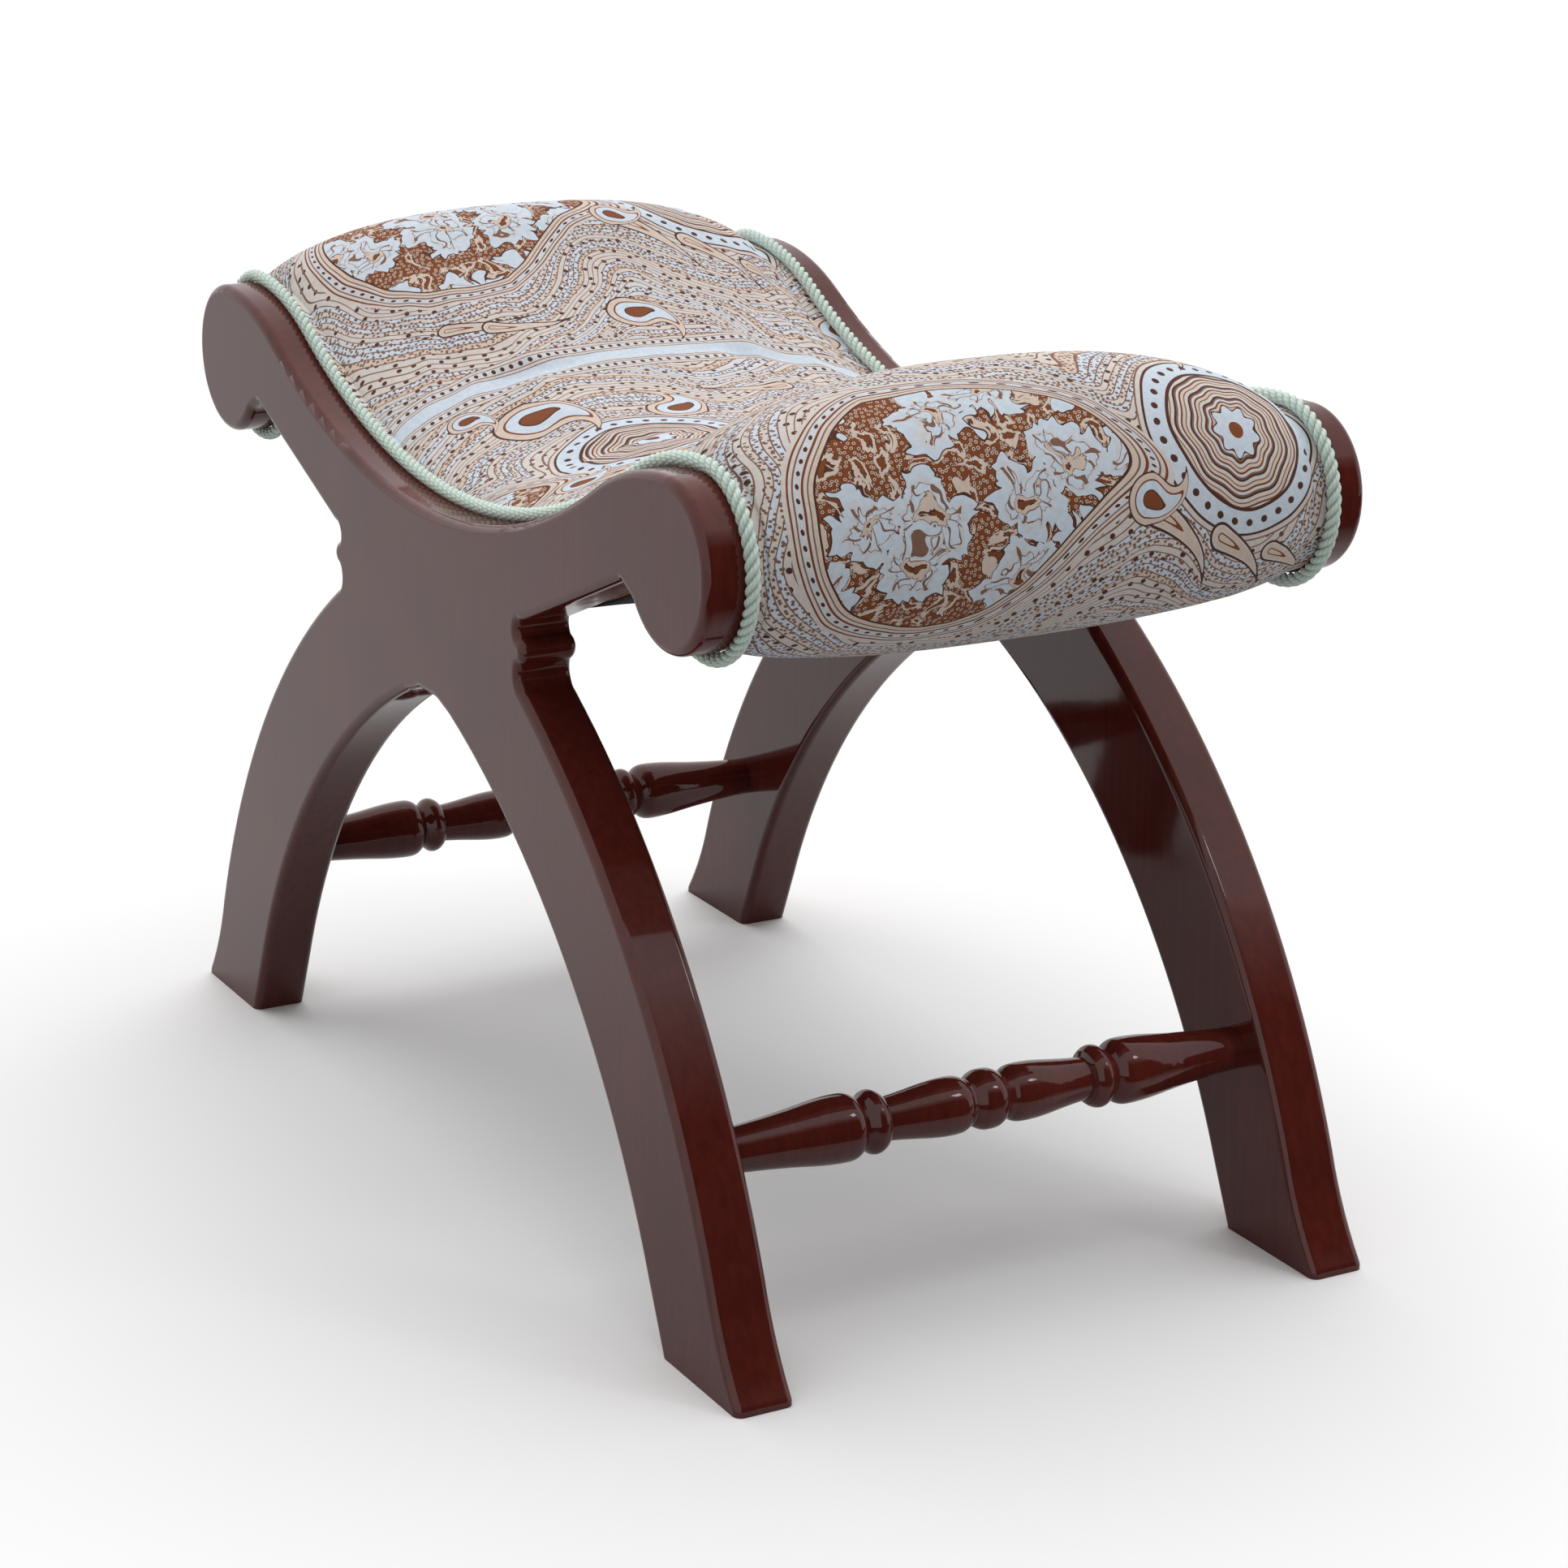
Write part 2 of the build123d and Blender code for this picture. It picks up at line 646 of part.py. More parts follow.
# Printed cover: one skin over the stuffing, tucked up inside the hooks, with its edges in the
# rails' rebates

cover_grow = soft_gap - rebate_depth

with BuildPart() as cover:
    for share in cushion_station_shares:
        crown = crown_at(share)
        outer_grow = cover_grow + cover_thickness
        with BuildSketch(cushion_plane(share * cushion_half)):
            with BuildLine():
                saddle_top(outer_grow, crown)
                saddle_top(cover_grow, crown, backwards=True)
                for edge in (-1, 1):
                    roll_arc(edge, outer_grow, crown)
                    roll_arc(edge, cover_grow, crown)
                    tuck_x, tuck_z = polar(scroll_x, scroll_z, core_radius, hook_angle)
                    tuck_in = (edge * (tuck_x - tuck_inset), tuck_z)
                    tuck_out = (edge * (tuck_x - tuck_inset - cover_thickness), tuck_z)
                    Polyline(
                        roll_end(edge, cover_grow, crown),
                        tuck_in,
                        tuck_out,
                        roll_end(edge, outer_grow, crown),
                    )
            make_face()
    loft()
    for side in (-1, 1):
        with BuildSketch(cushion_plane(side * cushion_half)):
            with BuildLine():
                saddle_top(cover_grow + cover_thickness)
                saddle_top(cover_grow, backwards=True)
                for edge in (-1, 1):
                    roll_arc(edge, cover_grow + cover_thickness)
                    roll_arc(edge, cover_grow)
                    Line(roll_end(edge, cover_grow), roll_end(edge, cover_grow + cover_thickness))
            make_face()
        extrude(amount=-side * (cover_half - cushion_half))
cover.part.label = "seat_cover"
export_step(cover.part, "parts/seat_cover.step")

# Twisted rope over the edges of the cover, from one hook round the saddle to the other

for frame_name, side in (("near", -1), ("far", 1)):
    with BuildPart() as rope:
        with BuildLine(cushion_plane(side * rope_y)) as rope_route:
            roll_arc(-1, rope_offset, inwards=True, short=rope_hook_turn)
            saddle_top(rope_offset)
            roll_arc(1, rope_offset, short=rope_hook_turn)
        start = rope_route.wires()[0] @ 0
        along = rope_route.wires()[0] % 0
        with BuildSketch(Plane(start, z_dir=along)):
            Circle(rope_radius)
        sweep()
    rope.part.label = f"{frame_name}_rope_trim"
    export_step(rope.part, f"parts/{rope.part.label}.step")

# Dust cover under the ledgers

with BuildPart() as dust_cover:
    dust_top = ledger_top + ledger_height + soft_gap
    with BuildSketch(Plane.XZ.offset(-cushion_half)):
        with BuildLine():
            saddle_top(-dust_top)
            for edge in (-1, 1):
                high = scroll_top - dust_top
                Line((edge * scroll_x, high), (edge * scroll_x, high - dust_cover_thickness))
            saddle_top(-dust_top - dust_cover_thickness, backwards=True)
        make_face()
    extrude(amount=2 * cushion_half)
    for edge in (-1, 1):
        dust_run = ledger_reach - dust_cover_end_gap
        x, z, slope = saddle_place(edge * dust_run, -dust_top)
        outwards = (edge * cos(radians(slope)), 0, edge * sin(radians(slope)))
        split(bisect_by=Plane((x, 0, z), z_dir=outwards), keep=Keep.BOTTOM)
dust_cover.part.label = "dust_cover"
export_step(dust_cover.part, "parts/dust_cover.step")
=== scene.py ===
"""Camel saddle stool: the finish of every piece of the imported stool, in metres and in its frame.

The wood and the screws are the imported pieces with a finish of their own. The printed cover, the
stuffing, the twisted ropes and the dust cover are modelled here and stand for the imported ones.
"""

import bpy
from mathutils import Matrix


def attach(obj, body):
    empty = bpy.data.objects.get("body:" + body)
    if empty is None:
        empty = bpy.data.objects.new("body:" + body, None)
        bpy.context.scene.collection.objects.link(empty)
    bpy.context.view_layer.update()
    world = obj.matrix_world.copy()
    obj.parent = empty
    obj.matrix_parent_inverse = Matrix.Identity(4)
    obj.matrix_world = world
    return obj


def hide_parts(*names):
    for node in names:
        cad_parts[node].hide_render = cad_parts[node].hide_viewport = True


bl_info = {
    "name": "Camel saddle stool",
    "version": (1, 0, 0),
    "blender": (4, 5, 0),
    "location": "View3D > Sidebar > Saddle Stool",
    "description": "Finishes a camel saddle stool: lacquered frames, printed cover and rope trim",
    "category": "Object",
}

from collections import namedtuple
from math import asin, cos, exp, isfinite, pi, radians, sin

import bmesh
import bpy
from bpy.props import FloatProperty, FloatVectorProperty, IntProperty, PointerProperty
from mathutils import Matrix, Vector, noise

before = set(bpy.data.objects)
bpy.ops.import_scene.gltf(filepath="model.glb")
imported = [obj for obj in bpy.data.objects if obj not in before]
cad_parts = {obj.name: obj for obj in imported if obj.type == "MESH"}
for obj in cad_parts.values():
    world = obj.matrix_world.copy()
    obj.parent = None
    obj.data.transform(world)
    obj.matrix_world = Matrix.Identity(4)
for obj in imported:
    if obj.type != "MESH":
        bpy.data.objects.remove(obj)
BODY = "root"
MILLIMETRES = 1000.0  # in a metre
WHITE = (1.0, 1.0, 1.0, 1.0)

WOOD_PIECES = (
    "near_top_rail",
    "far_top_rail",
    "near_left_leg",
    "near_right_leg",
    "far_left_leg",
    "far_right_leg",
)
STRETCHERS = ("left_stretcher", "right_stretcher")
HIDDEN_WOOD = ("left_roll_core", "right_roll_core", "near_seat_ledger", "far_seat_ledger")
SCREWS = ("near_ledger_screws", "far_ledger_screws", "slat_screws")
DOWELS = ("near_frame_dowels", "far_frame_dowels")
SLATS = tuple(f"seat_slat_{number}" for number in range(1, 10))

# Directions from a scroll's middle: its hook's end, and how much sooner the full rolls stop
HOOK_ANGLE = radians(-145)
CROWN_HOOK_TURN = radians(45)

# The felt's gaps to the saddle line, the frames and the cores, and the pad's depth
FELT_UNDER_COVER = 0.0020
FELT_OFF_FRAMES = 0.0018
FELT_OFF_CORES = 0.0006
PAD_DEPTH = 0.0150
# How finely the felt is drawn: across and along each half of the seat, and round a roll
FELT_STATIONS = 10
PAD_STEPS = 30
ROLL_STEPS = 36
# Radians past its top at which a roll of felt starts, outside and inside
ROLL_START_OUTSIDE = 0.02
ROLL_START_INSIDE = 0.05

# The cover's grid, the share of its width for its edges on the rails, the share of its length
# where the tucked ends start, and how far the tucked edge stays inside the cores' round
COVER_STEPS_ALONG = 230
COVER_STEPS_ACROSS = 96
EDGE_SHARE = 0.05
TUCK_START = 0.93
TUCK_INSIDE = 0.0017
# How far before the tuck the cut corners and the held ends start, as shares of the length, how far
# inside the rails' faces the cover is tacked, and the frames for which it settles
CORNER_MARGIN = 0.004
HELD_MARGIN = 0.01
TACK_MARGIN = 0.0005
SETTLING_FRAMES = 20

# Pull folds in a quarter of the cover: start and end along and across it, width and height
PULL_FOLDS = (
    ((0.050, 0.122), (0.190, 0.070), 0.0070, 0.0021),
    ((0.085, 0.124), (0.215, 0.092), 0.0055, 0.0019),
    ((0.120, 0.126), (0.235, 0.110), 0.0045, 0.0014),
    ((0.020, 0.118), (0.150, 0.040), 0.0090, 0.0017),
)
FOLD_BEND = 0.012
FOLD_DIFFERENCE = 0.004  # between the bends of neighbouring quarters
# Gathers along the tacked edges: where they start, how far they reach, height and ripples, which
# differ between the two edges
GATHER_START = 0.108
GATHER_REACH = 0.021
GATHER_HEIGHT = 0.0009
RIPPLES_PER_METRE = 95
EDGE_DIFFERENCE = 7.0

# The rope: a strand's radius as a share of the rope's, and how finely the strands are drawn
STRAND_SHARE = 0.54
STRAND_SIDES = 9
STRAND_STEPS = 20  # to a turn
FRAME_THICKNESS = 0.027  # of the end frames, which the rope's place is measured from

# The dust cover: depth under the saddle line, half its reach at that line, thickness, sag
DUST_COVER_DEPTH = 0.0383
DUST_COVER_REACH = 0.212
DUST_COVER_THICKNESS = 0.0008
DUST_COVER_SAG = 0.0015
DUST_COVER_WRINKLE = 0.0004

# The studio: half widths of the floor and of the dark flag's two squares, and their middles
FLOOR_HALF = 14.0
FLAG_HALF = 1.3
FLAG_ON_FLOOR = (1.62, 0.6, 0.002)
FLAG_BEHIND = (1.9, 0.6, 1.3)
# The small lamp, and the camera: its place, what it looks at and how far it leans
ACCENT_PLACE = (1.1, 0.9, 1.5)
CAMERA_PLACE = Vector((1.5627, -0.8244, 0.7129))
CAMERA_TARGET = Vector((0.0519, 0.0, 0.1781))
CAMERA_ROLL = radians(0.214)


def linear(colour):
    """An sRGB hex colour as linear red, green, blue and alpha."""
    parts = [int(colour[i : i + 2], 16) / 255 for i in (1, 3, 5)]
    return (*[p / 12.92 if p <= 0.04045 else ((p + 0.055) / 1.055) ** 2.4 for p in parts], 1.0)


def colour_property(name, description, colour):
    """A colour that a user can set."""
    return FloatVectorProperty(
        name=name,
        description=description,
        default=linear(colour),
        subtype="COLOR",
        size=4,
        min=0.0,
        max=1.0,
    )


def length_property(name, description, metres):
    """A length that a user can set."""
    return FloatProperty(
        name=name, description=description, default=metres, unit="LENGTH", subtype="DISTANCE"
    )


class SaddleShape(bpy.types.PropertyGroup):
    """The saddle line, which the cover, the ropes and the dust cover follow."""

    saddle_height: length_property("Saddle height", "Wood at the saddle's middle", 0.3145)
    scroll_rise: length_property("Scroll rise", "From there up to the scrolls' tops", 0.0625)
    scroll_spacing: length_property("Scroll spacing", "Between the scrolls' centres", 0.478)
    scroll_radius: length_property("Scroll radius", "Wooden scrolls", 0.036)
    shoulder_radius: length_property("Shoulder radius", "Where the saddle turns over", 0.130)
    inner_face: length_property("Inner face", "End frames' inner faces, from the middle", 0.129)
    rebate_width: length_property("Rebate width", "Lowered edge of the rails", 0.0096)
    rebate_depth: length_property("Rebate depth", "Lowered edge of the rails", 0.002)
    core_radius: length_property("Core radius", "Wooden cores of the rolls", 0.020)
    soft_gap: length_property("Soft gap", "Between soft pieces and their neighbours", 0.0003)
    crown_dip: length_property("Crown in the dip", "Cushion's rise at the middle", 0.0225)
    crown_in: length_property("Rolls inwards", "How far the full rolls move in", 0.0093)
    crown_up: length_property("Rolls upwards", "How far the full rolls move up", 0.0072)
    crown_roll: length_property("Rolls' growth", "How much the full rolls' radius grows", 0.0213)
    crown_shoulder: length_property("Tighter shoulder", "Full cushion's tighter turn", 0.083)


class CoverPrint(bpy.types.PropertyGroup):
    """The printed cotton of the cover."""

    thickness: length_property("Thickness", "Cover", 0.0012)
    repeat_along: length_property("Repeat along", "Print's repeat along the saddle", 0.272)
    repeat_across: length_property("Repeat across", "Print's repeat across the saddle", 0.284)
    thread: length_property("Thread spacing", "Woven threads, drawn coarse enough to show", 0.0009)
    settle: length_property("Settling", "How far the cover may move when it is stretched", 0.005)
    ground: colour_property("Ground", "Cloth between the figures", "#e0d7d1")
    blue: colour_property("Blue", "Leaves and bands", "#d9e4f0")
    rust: colour_property("Rust", "Filled figures", "#864a29")
    brown: colour_property("Brown", "Outlines", "#573428")
    fine: colour_property("Fine lines", "Thin lines and dots of the ground", "#8b6756")
    beige: colour_property("Beige", "Veins and small leaves", "#e0cdbe")


class RopeTrim(bpy.types.PropertyGroup):
    """The twisted rope over the cover's edges."""

    radius: length_property("Radius", "Rope", 0.0032)
    lay: length_property("Lay", "Length of one turn of a strand", 0.0145)
    strands: IntProperty(name="Strands", description="Strands of the rope", default=3, min=2)
    face_inset: length_property("Face inset", "Behind the frame's outer face", 0.0188)
    hook_turn: FloatProperty(
        name="Hook turn",
        description="The rope ends this far before the scroll's hook",
        default=radians(8),
        subtype="ANGLE",
    )
    mint: colour_property("Mint", "Dyed yarn", "#e1f4e8")


class WoodFinish(bpy.types.PropertyGroup):
    """The lacquer on the frames and the stretchers, and the bare wood inside the seat."""

    stain: colour_property("Stain", "Stained wood under the lacquer", "#61261f")
    stain_dark: colour_property("Dark stain", "Darker figure of the grain", "#531f19")
    bare: colour_property("Bare wood", "Planed wood inside the seat", "#b78d5c")
    grain: length_property("Grain width", "Spacing of the grain", 0.004)


class StudioSetup(bpy.types.PropertyGroup):
    """The floor, the light and the camera."""

    floor: colour_property("Floor", "Pale floor", "#a4a4a4")
    ambient: FloatProperty(name="Ambient light", description="Strength of the room", default=0.41)
    window: FloatProperty(name="Window", description="Light of the broad window", default=2.35)
    window_angle: FloatProperty(
        name="Window angle",
        description="Width of the window as the stool sees it",
        default=radians(100),
        subtype="ANGLE",
    )
    window_from: FloatVectorProperty(
        name="Window from", description="Where its light comes from", default=(-0.5, 0.3, 1.0)
    )
    accent: FloatProperty(name="Accent lamp", description="Power of the small lamp", default=1.6)
    lens: FloatProperty(name="Lens", description="Focal length in millimetres", default=89.66)


def shape():
    """The sizes of the saddle line."""
    return bpy.context.scene.saddle_shape


def add(tree, kind, *values, inputs=None, stops=None, banded=False, **settings):
    """Adds a node with its settings, and fills its inputs with values or links.

    The values go in order to the sockets that the settings leave in use, and inputs go by name. A
    node that is given as a value stands for its first output in use. Banded stops don't blend.
    """
    node = tree.nodes.new("ShaderNode" + kind)
    for name, value in settings.items():
        setattr(node, name, value)
    if stops:
        ramp = node.color_ramp
        ramp.interpolation = "CONSTANT" if banded else "LINEAR"
        for place, colour in stops:
            stop = ramp.elements[0] if place == 0 else ramp.elements.new(place)
            stop.color = colour
        ramp.elements.remove(ramp.elements[-1])
    used = [socket for socket in node.inputs if socket.enabled]
    named = [(node.inputs[name], value) for name, value in (inputs or {}).items()]
    for socket, value in [*zip(used, values), *named]:
        if isinstance(value, bpy.types.Node):
            value = next(output for output in value.outputs if output.enabled)
        if isinstance(value, bpy.types.NodeSocket):
            tree.links.new(value, socket)
        else:
            socket.default_value = value
    return node


def new_material(name):
    """A material with nothing in it yet."""
    material = bpy.data.materials.new(name)
    material.use_nodes = True
    material.node_tree.nodes.clear()
    return material


# Saddle line


def scroll_centre():
    """Middle (x, z) of the right scroll."""
    saddle = shape()
    top = saddle.saddle_height + saddle.scroll_rise
    return saddle.scroll_spacing / 2, top - saddle.scroll_radius


def saddle_sizes(grow=0.0, crown=0.0):
    """Centres and radii of the arcs of the saddle line, grown outwards and crowned."""
    saddle = shape()
    scroll_x, scroll_z = scroll_centre()
    roll_x = scroll_x - saddle.crown_in * crown
    roll_z = scroll_z + saddle.crown_up * crown
    roll_r = saddle.scroll_radius + grow + saddle.crown_roll * crown
    low = saddle.saddle_height + grow + saddle.crown_dip * crown
    rise = roll_z + roll_r - low
    reach = (roll_x**2 + rise**2) / (2 * rise)
    shoulder_r = saddle.shoulder_radius + grow - saddle.crown_shoulder * crown
    return roll_x, roll_z, roll_r, low, reach - shoulder_r, shoulder_r, asin(roll_x / reach)


def crown_at(share):
    """How full the cushion is: 1 in the middle, and 0 at the frames, where the share is 1."""
    # Flat in the middle, and round towards the frames
    return max(0.0, 1 - min(1.0, abs(share)) ** 2.6) ** (1 / 1.4)


def half_length(grow=0.0, crown=0.0, short=0.0):
    """Length of the saddle line from its middle to a hook."""
    _, _, roll_r, _, valley_r, shoulder_r, lean = saddle_sizes(grow, crown)
    turn = pi / 2 - HOOK_ANGLE - CROWN_HOOK_TURN * crown - short
    return lean * (valley_r + shoulder_r) + turn * roll_r


def roll_share(grow=0.0, crown=0.0):
    """Share of the saddle line's half length at which it meets the roll."""
    *_, valley_r, shoulder_r, lean = saddle_sizes(grow, crown)
    return lean * (valley_r + shoulder_r) / half_length(grow, crown)


def line_place(run, grow=0.0, crown=0.0, short=0.0):
    """Point (x, z) and outward normal at a share, -1 to 1, of the saddle line's length."""
    roll_x, roll_z, roll_r, low, valley_r, shoulder_r, lean = saddle_sizes(grow, crown)
    side = 1 if run >= 0 else -1
    along = abs(run) * half_length(grow, crown, short)
    if along <= lean * valley_r:
        turn = along / valley_r
        x, z = valley_r * sin(turn), low + valley_r - valley_r * cos(turn)
        normal = (-sin(turn), cos(turn))
    elif along <= lean * (valley_r + shoulder_r):
        turn = lean - (along - lean * valley_r) / shoulder_r
        high = roll_z + roll_r
        x = roll_x - shoulder_r * sin(turn)
        z = high - shoulder_r + shoulder_r * cos(turn)
        normal = (-sin(turn), cos(turn))
    else:
        angle = pi / 2 - (along - lean * (valley_r + shoulder_r)) / roll_r
        x, z = roll_x + roll_r * cos(angle), roll_z + roll_r * sin(angle)
        normal = (cos(angle), sin(angle))
    return side * x, z, side * normal[0], normal[1]


# Meshes


def new_object(name, bm, material):
    """Makes an object from a bmesh, at the origin."""
    mesh = bpy.data.meshes.new(name)
    bm.to_mesh(mesh)
    bm.free()
    mesh.materials.append(material)
    made = bpy.data.objects.new(name, mesh)
    bpy.context.scene.collection.objects.link(made)
    return made


def new_piece(name, bm, material):
    """Makes a smooth piece from a bmesh, riding on the stool."""
    piece = new_object(name, bm, material)
    for face in piece.data.polygons:
        face.use_smooth = True
    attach(piece, BODY)
    return piece


def thicken(piece, thickness):
    """Gives a sheet its wall, inwards from its outside."""
    wall = piece.modifiers.new("thickness", "SOLIDIFY")
    wall.thickness = thickness
    wall.offset = -1


def loft(bm, rings):
    """Skins closed rings of points, all alike, from one end to the other, and caps both ends."""
    start = bmesh.ops.create_circle(bm, segments=len(rings[0]), radius=1.0, cap_ends=False)
    verts = start["verts"]
    edges = list(bm.edges)
    for vert, place in zip(verts, rings[0]):
        vert.co = place
    bmesh.ops.holes_fill(bm, edges=edges, sides=0)
    for ring in rings[1:]:
        grown = bmesh.ops.extrude_edge_only(bm, edges=edges)["geom"]
        new_verts = [item for item in grown if isinstance(item, bmesh.types.BMVert)]
        edges = [item for item in grown if isinstance(item, bmesh.types.BMEdge)]
        edges = [edge for edge in edges if all(vert in new_verts for vert in edge.verts)]
        partner = {}
        for vert in new_verts:
            for edge in vert.link_edges:
                other = edge.other_vert(vert)
                if other in verts:
                    partner[other] = vert
        verts = [partner[vert] for vert in verts]
        for vert, place in zip(verts, ring):
            vert.co = place
    bmesh.ops.holes_fill(bm, edges=edges, sides=0)
    bmesh.ops.recalc_face_normals(bm, faces=bm.faces)


# Wood


def lacquered_wood():
    """Hardwood stained dark red-brown under a thick gloss lacquer: a mirror on a dim warm ground."""
    finish = bpy.context.scene.wood_finish
    material = new_material("lacquered_sheesham")
    tree = material.node_tree
    place = add(tree, "TexCoord").outputs["Object"]
    # Grain runs down the legs, 20 times as long as it is wide
    width = 1 / finish.grain
    along = add(tree, "Mapping", place, inputs={"Scale": (width, width, width / 20)})
    grain = add(
        tree, "TexNoise", inputs={"Vector": along, "Scale": 1.0, "Detail": 4.0, "Distortion": 0.4}
    )
    cloud = add(tree, "TexNoise", inputs={"Vector": place, "Scale": 14.0, "Detail": 2.0})
    both = add(tree, "Math", grain, cloud, operation="ADD")
    share = add(tree, "MapRange", both, 0.8, 1.25, 0.0, 1.0)
    colour = add(tree, "Mix", share, finish.stain_dark, finish.stain, data_type="RGBA")
    # Lacquer flows out to waves a centimetre or two long
    flow = add(tree, "TexNoise", inputs={"Vector": place, "Scale": 70.0, "Detail": 1.0})
    wave = add(tree, "Bump", inputs={"Height": flow, "Strength": 0.05, "Distance": 0.0004})
    shader = add(
        tree,
        "BsdfPrincipled",
        inputs={
            "Base Color": colour,
            "Roughness": 0.5,
            "Specular IOR Level": 0.0,
            "Coat Weight": 1.0,
            "Coat Roughness": 0.06,
            "Coat IOR": 1.45,
            "Coat Normal": wave,
        },
    )
    add(tree, "OutputMaterial", shader)
    return material


def planed_wood():
    """Pale hardwood, planed and left bare: dull, with open grain."""
    finish = bpy.context.scene.wood_finish
    material = new_material("planed_mango_wood")
    tree = material.node_tree
    place = add(tree, "TexCoord").outputs["Object"]
    width = 1 / finish.grain
    along = add(tree, "Mapping", place, inputs={"Scale": (width, width / 18, width)})
    grain = add(
        tree, "TexNoise", inputs={"Vector": along, "Scale": 1.0, "Detail": 5.0, "Distortion": 0.8}
    )
    colour = add(
        tree,
        "ValToRGB",
        grain,
        stops=((0, linear("#8d6238")), (0.45, finish.bare), (0.7, linear("#cba877"))),
    )
    relief = add(tree, "Bump", inputs={"Height": grain, "Strength": 0.3, "Distance": 0.0003})
    shader = add(
        tree,
        "BsdfPrincipled",
        inputs={"Base Color": colour, "Roughness": 0.7, "Normal": relief},
    )
    add(tree, "OutputMaterial", shader)
    return material


def zinc_steel():
    """Zinc-plated screws: a dull bluish metal with a fine turned grain."""
    material = new_material("zinc_plated_steel")
    tree = material.node_tree
    place = add(tree, "TexCoord").outputs["Object"]
    mottle = add(tree, "TexNoise", inputs={"Vector": place, "Scale": 900.0, "Detail": 3.0})
    rough = add(tree, "MapRange", mottle, 0.3, 0.7, 0.28, 0.45)
    shader = add(
        tree,
        "BsdfPrincipled",
        inputs={"Base Color": linear("#c4c7cb"), "Metallic": 1.0, "Roughness": rough},
    )
    add(tree, "OutputMaterial", shader)
    return material


def repaint(names, material):
    """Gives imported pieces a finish."""
    for name in names:
        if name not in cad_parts:
            raise RuntimeError(f"The packed stool has no piece named {name}")
        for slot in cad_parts[name].material_slots:
            slot.material = material


# Printed cotton

# Colours of the print: the ones that a user sets, and a pale one between ground and blue
Dyes = namedtuple("Dyes", "ground blue rust brown beige fine pale")

# Middle of the first repeat of the print on the cover, and sizes of the two large figures
FIRST_COLUMN = 38.0
FIRST_ROW = 187.0
MEDALLION = 61.0
ROSETTE = 40.0
# Figures: place and size in millimetres, direction and reach of the tip, its curl, and how wide it
# stays at the tip
FIGURES = {
    "medallion": ((4, -8), MEDALLION, 118, 1.55, 0.45, 0.5),
    "rosette": ((-14, 134), ROSETTE, 250, 1.0, 0.0, 1.0),
    "leaf_1": ((20, 88), 6.5, 60, 7.6, 0.05, 0.1),
    "leaf_2": ((31, 120), 6.5, 66, 7.0, 0.05, 0.1),
    "leaf_3": ((40, 150), 5.5, 70, 7.0, 0.05, 0.1),
    "leaf_4": ((84, -34), 5.0, 60, 9.0, -0.05, 0.22),
    "leaf_5": ((93, -14), 5.0, 64, 9.0, -0.05, 0.22),
    "leaf_6": ((-84, -46), 5.5, -70, 8.0, 0.06, 0.22),
    "bud_1": ((14, 84), 11, 60, 2.0, -0.8, 0.22),
    "bud_2": ((96, 62), 14, 100, 2.3, 0.8, 0.22),
    "bud_3": ((70, -100), 15, 20, 2.2, 0.9, 0.22),
    "bud_4": ((-62, -112), 15, 120, 2.2, -0.9, 0.22),
    "bud_5": ((-98, 40), 12, 40, 2.2, 0.9, 0.22),
    "bud_6": ((-88, 108), 19, 95, 2.2, 0.8, 0.22),
    "bud_7": ((-112, 84), 9, 95, 2.4, 0.8, 0.22),
}
# Ground lines, and the border between the columns of repeats, in millimetres from their middle
LINE_SPACING = 3.4
BORDER_START = 121.0
BORDER_WIDTH = 15.0
BORDER_BEADS = 126.3
BEAD_SPACING = 4.73


def new_group(name, inputs, outputs):
    """A node group, its inputs and its end. A name with Place in it is a place, others a number."""
    tree = bpy.data.node_groups.new(name, "ShaderNodeTree")
    for label in inputs + outputs:
        tree.interface.new_socket(
            label,
            in_out="INPUT" if label in inputs else "OUTPUT",
            socket_type="NodeSocketVector" if "Place" in label else "NodeSocketFloat",
        )
    given = tree.nodes.new("NodeGroupInput")
    return tree, [given.outputs[label] for label in inputs], tree.nodes.new("NodeGroupOutput")


